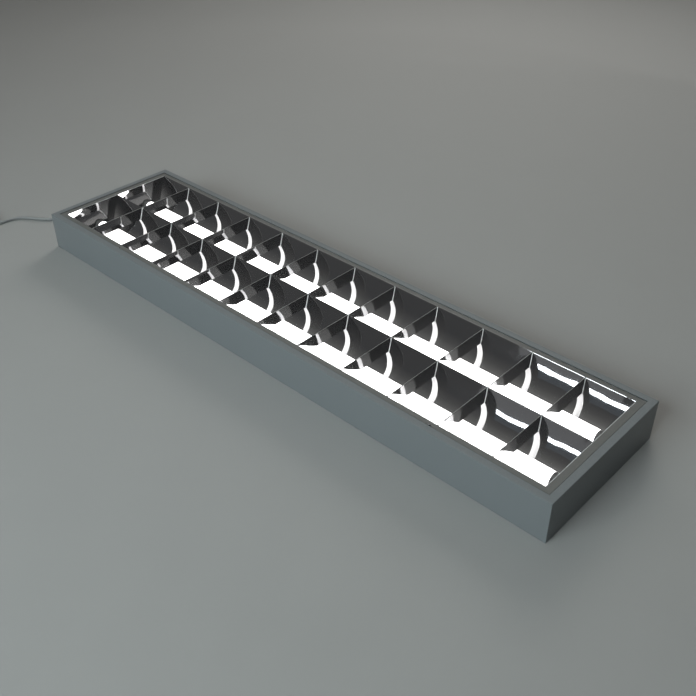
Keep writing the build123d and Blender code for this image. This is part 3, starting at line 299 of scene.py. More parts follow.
def bumped(tree, principled, height, strength, distance):
    """Bump on top of what already bends the shader's normal; distance is in metres."""
    bump = add(tree, "ShaderNodeBump", Strength=strength, Distance=distance)
    tree.links.new(height, bump.inputs["Height"])
    earlier = principled.inputs["Normal"].links
    if earlier:
        tree.links.new(earlier[0].from_socket, bump.inputs["Normal"])
    tree.links.new(bump.outputs[0], principled.inputs["Normal"])


def coated(name, colour, roughness, grain=0.25, dust=0.15, spread=0.03, size=9.0, **more):
    """Paint, plastic or rubber: soft blotches, fine grain and a little dust."""
    material, tree, principled, place = shader(name, **more)
    clouds = use_group(tree, CLOUDS, place, Size=size)
    film = use_group(tree, DUST, place, Amount=dust)
    blotched(tree, principled, clouds.outputs["Mask"], colour, spread, film.outputs["Mask"])
    rough = value_mix(tree, clouds.outputs["Mask"], roughness * 0.88, roughness * 1.12)
    tree.links.new(rough, principled.inputs["Roughness"])
    bumped(tree, principled, clouds.outputs["Grain"], grain, GRAIN_HEIGHT)
    return material


def metallic(name, colour, smooth, rough, lines=0.1, fineness=900.0, spread=0.02, dust=0.0,
             wave=0.0, metal=1.0, **more):
    """Rolled or drawn metal: fine lines along X, faint smudges and, with wave, slow waves."""
    material, tree, principled, place = shader(name, Metallic=metal, **more)
    rolled = use_group(tree, ROLLED, place, Fineness=fineness)
    film = use_group(tree, DUST, place, Amount=dust).outputs["Mask"] if dust else None
    blotched(tree, principled, rolled.outputs["Smudge"], colour, spread, film)
    roughness = value_mix(tree, rolled.outputs["Smudge"], smooth, rough)
    tree.links.new(roughness, principled.inputs["Roughness"])
    if wave:
        bumped(tree, principled, rolled.outputs["Wave"], 1.0, wave)
    bumped(tree, principled, rolled.outputs["Lines"], lines, LINE_HEIGHT)
    return material


# ---------------------------------------------------------------- finishes
# Painted shade: the housing is white powder coat; this dark, faintly blue grey paints the dim, bluish
# light that falls on it.
housing_paint = coated("housing_paint", (0.19, 0.205, 0.21), 0.42, grain=0.35, dust=0.10)
tray_paint = coated("tray_paint", (0.62, 0.63, 0.62), 0.40)
mirror_metal = metallic(
    "mirror_metal", (0.86, 0.86, 0.87), 0.02, 0.05, lines=0.02, wave=0.00032,
    Coat_Weight=0.35, Coat_Roughness=0.2)
reflector_back = coated("reflector_back", (0.84, 0.84, 0.84), 0.5, dust=0.0)
# Painted reflection: the flanges are the same mirror aluminium as the troughs; this dark grey,
# part-matt copy paints the room they reflect, with a little real dust.
flange_painted_reflection = metallic(
    "flange_painted_reflection", (0.21, 0.21, 0.2), 0.26, 0.38, lines=0.15, dust=0.1, metal=0.3)
# Painted highlight: the blades' top folds are the same mirror metal; this grey, half-matt copy paints
# the light line along them.
fold_painted_highlight = metallic("fold_painted_highlight", (0.5, 0.5, 0.48), 0.26, 0.38, lines=0.1, metal=0.5)
# Painted highlight: a pale satin finish for beads that paint the bright lines of tube light leaking
# at the blades' corners, and the highlight on the end flanges' hemmed inner edge.
seam_painted_highlight = metallic("seam_painted_highlight", (0.85, 0.85, 0.84), 0.3, 0.4, lines=0.05, metal=0.15)
zinc = metallic("zinc_plate", (0.62, 0.63, 0.64), 0.25, 0.42, fineness=400.0, spread=0.08)
spring_steel = metallic("spring_steel", (0.45, 0.46, 0.48), 0.2, 0.35, fineness=500.0)
brass = metallic("contact_brass", (0.72, 0.55, 0.26), 0.18, 0.34, fineness=300.0, spread=0.06)
cap_metal = metallic("cap_metal", (0.55, 0.56, 0.57), 0.24, 0.36, fineness=500.0)
holder_plastic = coated("holder_plastic", (0.72, 0.72, 0.69), 0.28, grain=0.1)
block_plastic = coated("block_plastic", (0.66, 0.64, 0.58), 0.45, grain=0.2)
board_mask = coated("board_coating", (0.78, 0.78, 0.74), 0.5, grain=0.1, dust=0.0)
brown_wire = coated("lamp_wire", (0.24, 0.12, 0.06), 0.4, grain=0.1, dust=0.0)
earth_wire = coated("earth_wire", (0.30, 0.42, 0.05), 0.4, grain=0.1, dust=0.0)
# Painted shade: the cord is pale; this mid grey paints the dim light that falls on it.
jacket_and_shade = coated("cord_jacket", (0.30, 0.305, 0.30), 0.42, grain=0.25, dust=0.08, spread=0.04)
plug_plastic = coated("plug_plastic", (0.62, 0.62, 0.60), 0.36, grain=0.3)
boot_rubber = coated("boot_rubber", (0.50, 0.50, 0.49), 0.55, grain=0.4)
TUBE_GLOW = 4.0
WARM_GLOW = (1.0, 0.97, 0.93, 1)
COOL_GLOW = (0.97, 0.98, 1.0, 1)


def glowing_tube():
    """Opal sleeve that gives light, a shade warmer in faint blotches."""
    material, tree, principled, place = shader(
        "opal_tube", Base_Color=(0.9, 0.9, 0.9, 1), Roughness=0.25, Emission_Strength=TUBE_GLOW)
    clouds = use_group(tree, CLOUDS, place, Size=14.0)
    glow = colour_mix(tree, clouds.outputs["Mask"], WARM_GLOW, COOL_GLOW)
    tree.links.new(glow, principled.inputs["Emission Color"])
    return material


opal = glowing_tube()


# ---------------------------------------------------------------- mesh helpers
SHARP_ANGLE = 25
MERGE_DISTANCE = 1e-7
CORNER_STEPS = 4


def new_piece(name, points, faces, materials, face_material=None):
    """A mesh object from points in millimetres, with its materials."""
    mesh = bpy.data.meshes.new(name)
    mesh.from_pydata([tuple(Vector(point) * MM) for point in points], [], faces)
    for material in materials:
        mesh.materials.append(material)
    if face_material:
        for face, index in zip(mesh.polygons, face_material):
            face.material_index = index
    mesh.update()
    piece = bpy.data.objects.new(name, mesh)
    bpy.context.scene.collection.objects.link(piece)
    return piece


def shade_by_angle(piece):
    """Smooth shading, with the edges sharper than SHARP_ANGLE kept crisp."""
    piece.data.shade_smooth()
    piece.data.set_sharp_from_angle(angle=math.radians(SHARP_ANGLE))


def faces_outward(piece):
    """Merge doubles, recalculate the normals of closed shells, and shade."""
    work = bmesh.new()
    work.from_mesh(piece.data)
    bmesh.ops.remove_doubles(work, verts=work.verts, dist=MERGE_DISTANCE)
    bmesh.ops.recalc_face_normals(work, faces=work.faces)
    work.to_mesh(piece.data)
    work.free()
    shade_by_angle(piece)


def beside_line(line, distance):
    """A 2-D polyline moved to the left of its own direction, with mitred corners."""
    moved = []
    for i, point in enumerate(line):
        here = Vector(point)
        before = (here - Vector(line[i - 1])).normalized() if i else None
        after = (Vector(line[i + 1]) - here).normalized() if i + 1 < len(line) else None
        before = before or after
        after = after or before
        normals = [Vector((-way.y, way.x)) for way in (before, after)]
        middle = (normals[0] + normals[1]).normalized()
        moved.append(here + middle * (distance / max(middle.dot(normals[0]), 0.2)))
    return moved


def rounded_corner(line, index, radius, steps=CORNER_STEPS):
    """The 2-D polyline with an arc in place of one of its corners."""
    before, corner, after = (Vector(line[index + k]) for k in (-1, 0, 1))
    way_in, way_out = (corner - before).normalized(), (after - corner).normalized()
    half_turn = way_in.angle(way_out) / 2
    reach = radius * math.tan(half_turn)
    inwards = (way_out - way_in).normalized()
    centre = corner + inwards * (radius / math.cos(half_turn))
    arc = []
    for i in range(steps + 1):
        spoke = ((corner - way_in * reach) - centre).lerp(
            (corner + way_out * reach) - centre, i / steps).normalized() * radius
        arc.append(tuple(centre + spoke))
    return [*line[:index], *arc, *line[index + 1:]]


def add_sheet(points, faces, edges):
    """Append a sheet with closed ends to a mesh's lists.

    Each edge is a pair of end points; they go round: the front's, then the back's reversed.
    """
    start, count = len(points), len(edges)
    for pair in edges:
        points += pair
    for i in range(count):
        after = (i + 1) % count
        faces.append(tuple(start + k for k in (2 * i, 2 * i + 1, 2 * after + 1, 2 * after)))
    for side in (0, 1):
        for i in range(count // 2 - 1):
            twin = count - 1 - i
            faces.append(tuple(start + 2 * k + side for k in (i, i + 1, twin - 1, twin)))


def add_bead(points, faces, path, radius, sides=8):
    """Append a thin closed round bead that follows the path to a mesh's lists."""
    start = len(points)
    path = [Vector(place) for place in path]
    for i, place in enumerate(path):
        way = (path[min(i + 1, len(path) - 1)] - path[max(i - 1, 0)]).normalized()
        if i:
            aside = (aside - way * aside.dot(way)).normalized()
        else:
            aside = way.orthogonal().normalized()
        other = way.cross(aside)
        for k in range(sides):
            angle = 2 * math.pi * k / sides
            points.append(tuple(place + (aside * math.cos(angle) + other * math.sin(angle)) * radius))
    for i in range(len(path) - 1):
        for k in range(sides):
            a, b = start + i * sides + k, start + i * sides + (k + 1) % sides
            faces.append((a, b, b + sides, a + sides))
    for end in (start, start + (len(path) - 1) * sides):
        faces.append(tuple(range(end, end + sides)))


def folded_sheet(name, line, thickness, half_length, materials, finish):
    """Sheet folded along X: line is (y, z), the ends follow half_length(y, z).

    finish gives a front face's material; the back and the ends have the last material.
    """
    loop = [*line, *reversed(beside_line(line, thickness))]
    points = []
    faces = []
    add_sheet(points, faces, [
        [(side * half_length(y, z), y, z) for side in (-1, 1)] for y, z in loop])
    fronts = len(line) - 1
    indices = [finish(i) for i in range(fronts)]
    indices += [len(materials) - 1] * (len(faces) - fronts)
    piece = new_piece(name, points, faces, materials, indices)
    faces_outward(piece)
    return piece


def cut(piece, cutters):
    """Boolean difference, applied to the piece; the cutters are removed."""
    for cutter in cutters:
        modifier = piece.modifiers.new("cut", "BOOLEAN")
        modifier.operation = "DIFFERENCE"
        modifier.solver = "EXACT"
        modifier.object = cutter
    graph = bpy.context.evaluated_depsgraph_get()
    mesh = bpy.data.meshes.new_from_object(piece.evaluated_get(graph))
    piece.modifiers.clear()
    piece.data = mesh
    for cutter in cutters:
        bpy.data.objects.remove(cutter)
    shade_by_angle(piece)


def box_cutter(low, high):
    """Cutter from one corner to the opposite one."""
    corners = list(itertools.product(*zip(low, high)))
    faces = [(0, 1, 3, 2), (4, 6, 7, 5), (0, 4, 5, 1), (2, 3, 7, 6), (0, 2, 6, 4), (1, 5, 7, 3)]
    return new_piece("cutter", corners, faces, [])


def prism_cutter(outline, low, high):
    """Cutter with a (y, z) outline, from one x to another."""
    count = len(outline)
    points = [(x, y, z) for x in (low, high) for y, z in outline]
    faces = [tuple(range(count)), tuple(reversed(range(count, 2 * count)))]
    faces += [(i, (i + 1) % count, count + (i + 1) % count, count + i) for i in range(count)]
    cutter = new_piece("cutter", points, faces, [])
    faces_outward(cutter)
    return cutter


# ---------------------------------------------------------------- louvre sizes, from the frame
def centre_mm(node):
    """Middle of a node's box, in millimetres."""
    low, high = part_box(node)
    return (low + high) / 2 / MM


spine_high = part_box("louvre_spine")[1] / MM
side_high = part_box("louvre_side_far")[1] / MM
tube_middle = centre_mm("tube_sleeve_far")
SHEET = 0.5
SEAT_GAP = 0.1
TUBE_Y, TUBE_Z = tube_middle.y, tube_middle.z
TUBE_RADIUS = 13.0
LOUVRE_TOP = spine_high.z
OPENING_X = spine_high.x + SEAT_GAP
END_FLANGE = 12.7
LOUVRE_X = OPENING_X + END_FLANGE
LOUVRE_Y = side_high.y
TROUGH = 2 * TUBE_Y
LOWER_EDGE = TUBE_RADIUS + 12.0     # reflector's foot to the tube's axis plane
HEM = 5.5
SKIRT = 10.0
CURVE_STEPS = 40
FOLD_RADIUS = 1.0
RIDGE_RADIUS = 0.7
RIDGE_STEPS = 6
RISE = LOUVRE_TOP - TUBE_Z
FOCAL = (math.hypot(RISE, TUBE_Y) - RISE) / 2
TROUGH_FLOOR = TUBE_Z - FOCAL

BLADE_COUNT = 11
BLADE_DEPTH = 22.0
BLADE_HALF = 5.6                    # half width of the open side
BLADE_SHEET = 0.4
BLADE_STEPS = 11
FOLD_STEPS = (0, 0.04, 0.15, 0.4, 0.8)
FOLD_FACES = 3                      # on each side of the blade's top edge

END_SWEEP = 20.0                    # how far an end reflector curves inwards
END_STEPS = 24
BEAD_RADIUS = 0.6
RIM_PROUD = 0.4                     # rim bead above the flange

HINGE_Y, HINGE_Z = LOUVRE_Y - 5.2, LOUVRE_TOP - 5.0
HINGE_X = 420.0
HINGE_WINDOW = 13.5                 # half length of the gap in the skirt
NOTCH_X = 392.0
NOTCH_HALF = 4.0
NOTCH_DEPTH = 2.7
SWING_ROOM = TUBE_RADIUS + 1.5
SWING_ANGLE = 60
SWING_STEPS = 24
ROUND_STEPS = 60
CUT_MARGIN = 1.0


def trough_height(distance):
    """Height of the parabola at a distance from the tube's axis plane."""
    return TROUGH_FLOOR + distance ** 2 / (4 * FOCAL)


def trough_reach(z):
    """Half width of the open trough at a height."""
    return math.sqrt(max(4 * FOCAL * (z - TROUGH_FLOOR), 0))


def curve_line(start, end):
    """Points (y, z) along the parabola, from one distance to another."""
    steps = [start + (end - start) * i / CURVE_STEPS for i in range(CURVE_STEPS + 1)]
    return [(TUBE_Y + d, trough_height(d)) for d in steps]


# ---------------------------------------------------------------- louvre pieces
def mitred(y, z):
    """Half length of a side piece: square by the opening, mitred under the flange."""
    slope = END_FLANGE / (LOUVRE_Y - TROUGH)
    return OPENING_X - SEAT_GAP + max(abs(y) - TROUGH, 0) * slope


def side_reflector(name, sign):
    """Hem, parabola, flange and skirt of one long side, folded from one sheet."""
    curve = curve_line(LOWER_EDGE, TUBE_Y)
    foot = beside_line(curve, -SHEET)[0]
    line = [(foot.x + HEM, foot.y), (foot.x, foot.y), *curve,
            (LOUVRE_Y, LOUVRE_TOP), (LOUVRE_Y, LOUVRE_TOP - SKIRT)]
    line = rounded_corner(line, len(line) - 2, FOLD_RADIUS)
    line = rounded_corner(line, 1 + len(curve), FOLD_RADIUS)
    line = [(sign * y, z) for y, z in line]
    first_flange = 1 + len(curve) + CORNER_STEPS

    # The flange and skirt take the grey finish that paints the room's reflection.
    def finish(i):
        return 1 if i >= first_flange else 0
    return folded_sheet(
        name, line, -sign * SHEET, mitred, [mirror_metal, flange_painted_reflection, reflector_back], finish)


def spine_reflector():
    """Two parabolas that meet in a sharp fold over the middle, with hems below."""
    curve = curve_line(-LOWER_EDGE, -TUBE_Y)
    foot = beside_line(curve, SHEET)[0]
    half = [(foot.x - HEM, foot.y), (foot.x, foot.y), *curve]
    line = half + [(-y, z) for y, z in reversed(half[:-1])]
    line = rounded_corner(line, len(half) - 1, RIDGE_RADIUS, RIDGE_STEPS)
    return folded_sheet(
        "louvre_spine_mirror", line, SHEET, lambda y, z: OPENING_X - SEAT_GAP,
        [mirror_metal, reflector_back], lambda i: 0)


def blade_half_width(drop):
    """Half width of a blade's section, at a distance below its rounded top edge."""
    lean = math.atan((BLADE_HALF - RIDGE_RADIUS) / BLADE_DEPTH)
    shoulder = RIDGE_RADIUS * (1 - math.sin(lean))
    if drop < shoulder:
        return math.sqrt(RIDGE_RADIUS ** 2 - (RIDGE_RADIUS - drop) ** 2)
    waist = RIDGE_RADIUS * math.cos(lean)
    return waist + (drop - shoulder) * (BLADE_HALF - waist) / (BLADE_DEPTH - shoulder)


def blade_section():
    """Distances below the top edge, and the front and back of a blade's V as (x, z)."""
    drops = [RIDGE_RADIUS * share for share in FOLD_STEPS]
    drops += [RIDGE_RADIUS + (BLADE_DEPTH - RIDGE_RADIUS) * i / BLADE_STEPS
              for i in range(BLADE_STEPS + 1)]
    sides = [(-1, drop) for drop in reversed(drops[1:])] + [(1, drop) for drop in drops]
    slope = math.hypot(BLADE_HALF, BLADE_DEPTH)
    wall_x = BLADE_SHEET * slope / BLADE_DEPTH
    wall_z = BLADE_SHEET * slope / BLADE_HALF
    outer = [(side * blade_half_width(drop), LOUVRE_TOP - drop) for side, drop in sides]
    inner = [(side * (BLADE_HALF - wall_x) * drop / BLADE_DEPTH,
              LOUVRE_TOP - wall_z - (BLADE_DEPTH - wall_z) * drop / BLADE_DEPTH)
             for side, drop in sides]
    return drops, outer, inner


def corner_path(side, row, end, drops):
    """Line where one side of a blade meets a trough's wall."""
    path = []
    for drop in drops:
        z = LOUVRE_TOP - drop
        reach = trough_reach(z) - BEAD_RADIUS
        path.append((side * blade_half_width(drop), row * TUBE_Y + end * reach, z))
    return path


def blade_mesh():
    """A V-section blade across both troughs: open side down, matt inside, a painted light line on its
    top fold, and beads at its corners that paint leaking light.
    """
    mirror, inside, fold, seam = range(4)
    drops, outer, inner = blade_section()
    flanks = drops[len(FOLD_STEPS) - 1:]
    points = []
    faces = []
    indices = []
    for row in (-1, 1):
        edges = []
        for x, z in [*outer, *reversed(inner)]:
            reach = trough_reach(z) - SEAT_GAP
            edges.append([(x, row * TUBE_Y + end * reach, z) for end in (-1, 1)])
        first = len(faces)
        add_sheet(points, faces, edges)
        fronts = len(outer) - 1
        indices += [mirror] * fronts + [inside] * (len(edges) - fronts)
        indices += [mirror] * (len(faces) - len(indices))
        top = first + len(outer) // 2
        # The faces round the top fold take the finish that paints a light line there.
        indices[top - FOLD_FACES:top + FOLD_FACES] = [fold] * 2 * FOLD_FACES
        # The corner beads take the pale finish that paints light leaking at the blade's corners.
        for end, side in itertools.product((-1, 1), (-1, 1)):
            add_bead(points, faces, corner_path(side, row, end, flanks), BEAD_RADIUS)
        indices += [seam] * (len(faces) - len(indices))
    finishes = [mirror_metal, reflector_back, fold_painted_highlight, seam_painted_highlight]
    blade = new_piece("blade_pattern", points, faces, finishes, indices)
    faces_outward(blade)
    for label, index in (("inside", inside), ("fold", fold), ("seam", seam)):
        mark = blade.data.attributes.new(label, "BOOLEAN", "FACE")
        for face, item in zip(blade.data.polygons, mark.data):
            item.value = face.material_index == index
    return blade


def geometry_tree(name, inputs):
    """An empty Geometry Nodes tree with named inputs (name, type, default)."""
    tree = bpy.data.node_groups.new(name, "GeometryNodeTree")
    tree.is_modifier = True
    for label, kind, default in inputs:
        socket = tree.interface.new_socket(label, in_out="INPUT", socket_type=kind)
        if default is not None:
            socket.default_value = default
    tree.interface.new_socket("Geometry", in_out="OUTPUT", socket_type="NodeSocketGeometry")
    return tree, tree.nodes.new("NodeGroupInput"), tree.nodes.new("NodeGroupOutput")


def blade_row_tree():
    """Blades at an even pitch along X, middle blade at the origin."""
    tree, source, sink = geometry_tree("blade_row", [
        ("Blade", "NodeSocketObject", None), ("Count", "NodeSocketInt", BLADE_COUNT),
        ("Pitch", "NodeSocketFloat", 0.1),
        ("Mirror", "NodeSocketMaterial", None), ("Inside", "NodeSocketMaterial", None),
        ("Fold", "NodeSocketMaterial", None), ("Seam", "NodeSocketMaterial", None)])
    line = add(tree, "GeometryNodeMeshLine", mode="OFFSET")
    step = add(tree, "ShaderNodeCombineXYZ")
    start = add(tree, "ShaderNodeVectorMath", operation="SCALE")
    half = add(tree, "ShaderNodeMath", operation="MULTIPLY_ADD")
    half.inputs[1].default_value = -0.5
    half.inputs[2].default_value = 0.5
    link = tree.links.new
    link(source.outputs["Pitch"], step.inputs["X"])
    link(source.outputs["Count"], half.inputs[0])
    link(step.outputs[0], start.inputs[0])
    link(half.outputs[0], start.inputs["Scale"])
    link(source.outputs["Count"], line.inputs["Count"])
    link(start.outputs[0], line.inputs["Start Location"])
    link(step.outputs[0], line.inputs["Offset"])
    pattern = add(tree, "GeometryNodeObjectInfo")
    link(source.outputs["Blade"], pattern.inputs["Object"])
    copies = add(tree, "GeometryNodeInstanceOnPoints")
    link(line.outputs[0], copies.inputs["Points"])
    link(pattern.outputs["Geometry"], copies.inputs["Instance"])
    real = add(tree, "GeometryNodeRealizeInstances")
    link(copies.outputs[0], real.inputs[0])
    finished = add(tree, "GeometryNodeSetMaterial")
    link(real.outputs[0], finished.inputs["Geometry"])
    link(source.outputs["Mirror"], finished.inputs["Material"])
    for mark in ("Inside", "Fold", "Seam"):
        named = add(tree, "GeometryNodeInputNamedAttribute", data_type="BOOLEAN")
        named.inputs["Name"].default_value = mark.lower()
        marked = add(tree, "GeometryNodeSetMaterial")
        link(finished.outputs[0], marked.inputs["Geometry"])
        link(named.outputs["Attribute"], marked.inputs["Selection"])
        link(source.outputs[mark], marked.inputs["Material"])
        finished = marked
    link(finished.outputs[0], sink.inputs[0])
    return tree


def grown(name, tree, values):
    """The mesh that a Geometry Nodes tree makes from its named values, as a plain piece."""
    host = new_piece(name + "_host", [(0, 0, 0)], [], [])
    modifier = host.modifiers.new("grow", "NODES")
    modifier.node_group = tree
    for item in tree.interface.items_tree:
        if item.in_out == "INPUT" and item.name in values:
            modifier[item.identifier] = values[item.name]
    graph = bpy.context.evaluated_depsgraph_get()
    mesh = bpy.data.meshes.new_from_object(host.evaluated_get(graph), depsgraph=graph)
    bpy.data.objects.remove(host)
    piece = bpy.data.objects.new(name, mesh)
    bpy.context.scene.collection.objects.link(piece)
    return piece


def blades():
    """All cross-blades as one piece, at the pitch of the frame's blades."""
    pattern = blade_mesh()
    pitch = (centre_mm("cross_blade_02").x - centre_mm("cross_blade_01").x) * MM
    piece = grown("louvre_blades", blade_row_tree(), {
        "Blade": pattern, "Count": BLADE_COUNT, "Pitch": pitch,
        "Mirror": mirror_metal, "Inside": reflector_back, "Fold": fold_painted_highlight, "Seam": seam_painted_highlight})
    bpy.data.objects.remove(pattern)
    return piece


def arc_points(centre, radius, angles):
    """Points (y, z) on a circle, at angles in radians."""
    y, z = centre
    return [(y + radius * math.cos(angle), z + radius * math.sin(angle)) for angle in angles]


def swing_outline(tube_y):
    """Ring stretch that a tube passes through while the louvre swings, as (y, z)."""
    arm = Vector((tube_y - HINGE_Y, TUBE_Z - HINGE_Z))
    start = math.atan2(arm.y, arm.x)
    sweep = math.radians(SWING_ANGLE)
    angles = [start + sweep * i / SWING_STEPS for i in range(SWING_STEPS + 1)]
    outer, inner = arm.length + SWING_ROOM, arm.length - SWING_ROOM
    return (arc_points((HINGE_Y, HINGE_Z), outer, angles)
            + arc_points((HINGE_Y, HINGE_Z), inner, reversed(angles)))


def round_outline(tube_y):
    """Circle of room round a tube at rest, as (y, z)."""
    angles = [2 * math.pi * i / ROUND_STEPS for i in range(ROUND_STEPS)]
    return arc_points((tube_y, TUBE_Z), SWING_ROOM, angles)


def end_mirrors(name, sign):
    """The curved mirror of each trough at one end, with room cut for the swinging tubes."""
    mirror, back = 0, 2
    foot = trough_height(LOWER_EDGE)
    points = []
    faces = []
    indices = []
    for row in (-1, 1):
        start = len(points)
        for i in range(END_STEPS + 1):
            share = i / END_STEPS
            z = LOUVRE_TOP + (foot - LOUVRE_TOP) * share
            x = OPENING_X - END_SWEEP * share ** 2
            reach = trough_reach(z) - SEAT_GAP
            for push, side in itertools.product((0, SHEET), (-1, 1)):
                points.append((sign * (x + push), row * TUBE_Y + side * reach, z))
        for a in range(start, start + 4 * END_STEPS, 4):
            b = a + 4
            faces += [(a, a + 1, b + 1, b), (a + 2, a + 3, b + 3, b + 2),
                      (a, a + 2, b + 2, b), (a + 1, a + 3, b + 3, b + 1)]
            indices += [mirror, back, mirror, mirror]
        for end in (start, start + 4 * END_STEPS):
            faces.append((end, end + 1, end + 3, end + 2))
            indices.append(mirror)
    finishes = [mirror_metal, flange_painted_reflection, reflector_back, seam_painted_highlight]
    mirrors = new_piece(name, points, faces, finishes, indices)
    faces_outward(mirrors)
    low, high = sorted((sign * (OPENING_X - 2 * END_SWEEP), sign * (LOUVRE_X + END_FLANGE)))
    cut(mirrors, [
        prism_cutter(outline(tube_y), low, high)
        for tube_y in (-TUBE_Y, TUBE_Y) for outline in (swing_outline, round_outline)])
    return mirrors


def end_rim(name, sign):
    """Flange and skirt across one end, in the grey finish that paints their reflection, with a bead
    along the flange's inner edge whose pale finish paints a bright highlight there.
    """
    bead, flange = range(2)
    rim = [(OPENING_X, LOUVRE_TOP), (LOUVRE_X, LOUVRE_TOP), (LOUVRE_X, LOUVRE_TOP - SKIRT)]
    edges = []
    for x, z in [*rim, *reversed(beside_line(rim, -SHEET))]:
        share = (x - OPENING_X) / END_FLANGE
        half = TROUGH + (LOUVRE_Y - TROUGH) * share
        edges.append([(sign * x, side * half, z) for side in (-1, 1)])
    points = []
    faces = []
    add_sheet(points, faces, edges)
    indices = [flange] * len(faces)
    half = TROUGH - 2 * BEAD_RADIUS
    level = LOUVRE_TOP + RIM_PROUD - BEAD_RADIUS
    path = [(sign * (OPENING_X + BEAD_RADIUS), half * k / 4, level) for k in range(-4, 5)]
    add_bead(points, faces, path, BEAD_RADIUS)
    indices += [bead] * (len(faces) - len(indices))
    piece = new_piece(name, points, faces, [seam_painted_highlight, flange_painted_reflection], indices)
    faces_outward(piece)
    return piece


def end_reflector(name, sign):
    """Everything across one end of the louvre, as one piece."""
    return joined(end_mirrors(name, sign), end_rim(name + "_rim", sign))


def joined(piece, other):
    """Two meshes as one piece, under the first one's name, with materials kept."""
    work = bmesh.new()
    work.from_mesh(piece.data)
    first = len(work.faces)
    work.from_mesh(other.data)
    work.faces.ensure_lookup_table()
    names = [material.name for material in piece.data.materials]
    for face in work.faces[first:]:
        face.material_index = names.index(other.data.materials[face.material_index].name)
    work.to_mesh(piece.data)
    work.free()
    bpy.data.objects.remove(other)
    shade_by_angle(piece)
    return piece


side_far = side_reflector("louvre_side_mirror_far", 1)
cut(side_far, [
    box_cutter((x - HINGE_WINDOW, LOUVRE_Y - CUT_MARGIN, LOUVRE_TOP - SKIRT - CUT_MARGIN),
               (x + HINGE_WINDOW, LOUVRE_Y + CUT_MARGIN, LOUVRE_TOP - FOLD_RADIUS))
    for x in (-HINGE_X, HINGE_X)])
side_near = side_reflector("louvre_side_mirror_near", -1)
cut(side_near, [
    box_cutter((x - NOTCH_HALF, -LOUVRE_Y - CUT_MARGIN, LOUVRE_TOP - SKIRT / 2),
               (x + NOTCH_HALF, -LOUVRE_Y + NOTCH_DEPTH, LOUVRE_TOP + CUT_MARGIN))
    for x in (-NOTCH_X, NOTCH_X)])
spine = spine_reflector()
blade_row = blades()
end_right = end_reflector("louvre_end_mirror_right", 1)
end_left = end_reflector("louvre_end_mirror_left", -1)

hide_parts("louvre_side_far")
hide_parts("louvre_side_near")
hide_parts("louvre_spine")
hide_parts(*(f"cross_blade_{i:02d}" for i in range(1, BLADE_COUNT + 1)))
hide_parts("louvre_end_right")
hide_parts("louvre_end_left")
for piece in (side_far, side_near, spine, blade_row, end_right, end_left):
    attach(piece, "louvre")

# ---------------------------------------------------------------- cord
cord.data.materials.append(jacket_and_shade)
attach(cord, "housing")
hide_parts("cord_lead", "cord_coil", "cord_tail")

# ---------------------------------------------------------------- finishes of the frame's own nodes
NODE_FINISH = {
    "housing_channel": housing_paint, "end_plate_left": housing_paint,
    "end_plate_right": housing_paint, "lamp_tray": tray_paint, "tray_bosses": zinc,
    "tray_screws": zinc, "wiring_screws": zinc, "terminal_block": block_plastic,
    "cord_clamp": block_plastic, "louvre_catches": spring_steel, "cord_boot": boot_rubber,
    "cord_sheath": jacket_and_shade, "cord_cores": brown_wire, "lamp_wires": brown_wire,
    "earth_wire": earth_wire, "plug_body": plug_plastic, "plug_contacts": brass,
}
PREFIX_FINISH = {
    "hinge_": zinc, "lampholder_": holder_plastic, "rotor_": holder_plastic,
    "tube_sleeve_": opal, "tube_cap_": cap_metal, "tube_pins_": brass, "led_board_": board_mask,
}
for name, node in nodes.items():
    finish = NODE_FINISH.get(name)
    for prefix, material in PREFIX_FINISH.items():
        finish = material if name.startswith(prefix) else finish
    if finish:
        node.data.materials.clear()
        node.data.materials.append(finish)

# ---------------------------------------------------------------- stage and light
FLOOR_SIZE = 40.0


def studio_floor():
    """Wide plain floor, part of the stage."""
    half = FLOOR_SIZE / 2 / MM
    corners = [(-half, -half, 0), (half, -half, 0), (half, half, 0), (-half, half, 0)]
    paint = coated("floor_paint", (0.36, 0.36, 0.35), 0.6, grain=0.1, dust=0.0)
    new_piece("floor", corners, [(0, 1, 2, 3)], [paint])


def area_lamp(name, place, aim, size, power, colour, in_mirrors, spread=180):
    """Rectangular soft lamp; in_mirrors says whether polished metal shows it."""
    data = bpy.data.lights.new(name, "AREA")
    data.shape = "RECTANGLE"
    data.size, data.size_y = size
    data.energy = power
    data.color = colour
    data.spread = math.radians(spread)
    lamp = bpy.data.objects.new(name, data)
    lamp.location = place
    lamp.rotation_euler = (Vector(aim) - Vector(place)).to_track_quat("-Z", "Y").to_euler()
    lamp.visible_glossy = in_mirrors
    bpy.context.scene.collection.objects.link(lamp)


def fill_lamps():
    """Lamps that light the paint and the floor, and that the mirrors don't show."""
    daylight, warm_white = (0.83, 0.96, 1.0), (1.0, 0.98, 0.95)
    area_lamp("front_fill", (0.2, -2.8, 1.8), (0.05, 0, 0.05), (2.0, 1.4), 26, daylight, False, 100)
    area_lamp("back_fill", (-1.4, 3.0, 2.0), (-0.1, 0, 0.05), (2.0, 1.4), 18, warm_white, False, 100)
    area_lamp("overhead", (-0.6, 0, 5.5), (-0.2, 0, 0), (8.0, 8.0), 36, (1.0, 0.98, 0.93), False)


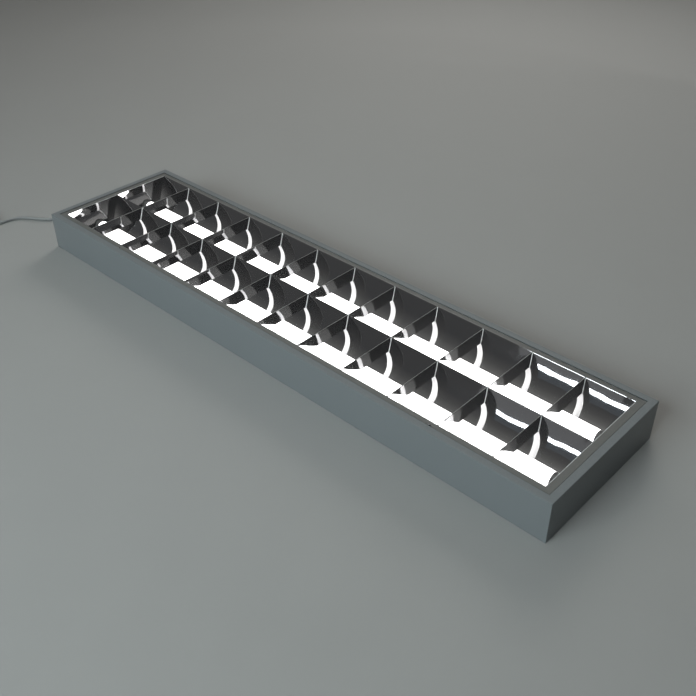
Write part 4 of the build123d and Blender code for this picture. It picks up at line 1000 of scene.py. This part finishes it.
def mirrored_lamps():
    """Weak lamps in the places that the mirrors show: a window, its sill, walls and haze."""
    aim = (-0.1, 0, 0.1)
    for name, height, size, power, colour in (
            ("window", 1.05, (0.55, 0.14), 1.2, (0.9, 0.96, 1.0)),
            ("low_window", 0.28, (0.55, 0.2), 1.0, (1, 1, 1)),
            ("grey_wall", 0.71, (0.55, 0.5), 0.06, (0.95, 0.97, 1.0)),
            ("blue_haze", 1.3, (0.55, 0.32), 0.014, (0.6, 0.8, 1.0))):
        area_lamp(name, (-0.52, -2.5, height), aim, size, power, colour, True)
    area_lamp("back_panel", (-1.8, 1.9, 1.9), (0, 0, 0), (2.2, 1.2), 1.0, (1.0, 0.98, 0.94), True)


def room_world():
    """Dim room round the light: dark at the horizon, paler overhead and to the left."""
    world = bpy.data.worlds.new("room")
    bpy.context.scene.world = world
    world.use_nodes = True
    tree = world.node_tree
    background = tree.nodes["Background"]
    way = add(tree, "ShaderNodeSeparateXYZ")
    tree.links.new(add(tree, "ShaderNodeTexCoord").outputs["Generated"], way.inputs[0])
    ramp = add(tree, "ShaderNodeValToRGB")
    left_strength, right_strength = 1.2, 0.42
    bands = [(0.0, (0.045, 0.045, 0.045)), (0.4, (0.042, 0.043, 0.044)), (0.57, (0.07, 0.07, 0.069)),
             (0.71, (0.112, 0.112, 0.108)), (0.82, (0.18, 0.18, 0.172)), (1.0, (0.26, 0.26, 0.25))]
    stops = ramp.color_ramp.elements
    while len(stops) < len(bands):
        stops.new(0.5)
    for stop, (height, colour) in zip(stops, bands):
        stop.position = height
        stop.color = (*colour, 1)
    tree.links.new(way.outputs["Z"], ramp.inputs["Fac"])
    tree.links.new(ramp.outputs["Color"], background.inputs["Color"])
    side = add(tree, "ShaderNodeMapRange")
    for label, value in (
            ("From Min", -1), ("To Min", left_strength), ("To Max", right_strength)):
        side.inputs[label].default_value = value
    tree.links.new(way.outputs["X"], side.inputs["Value"])
    tree.links.new(side.outputs["Result"], background.inputs["Strength"])


studio_floor()
fill_lamps()
mirrored_lamps()
room_world()
bpy.context.scene.view_settings.view_transform = "Standard"
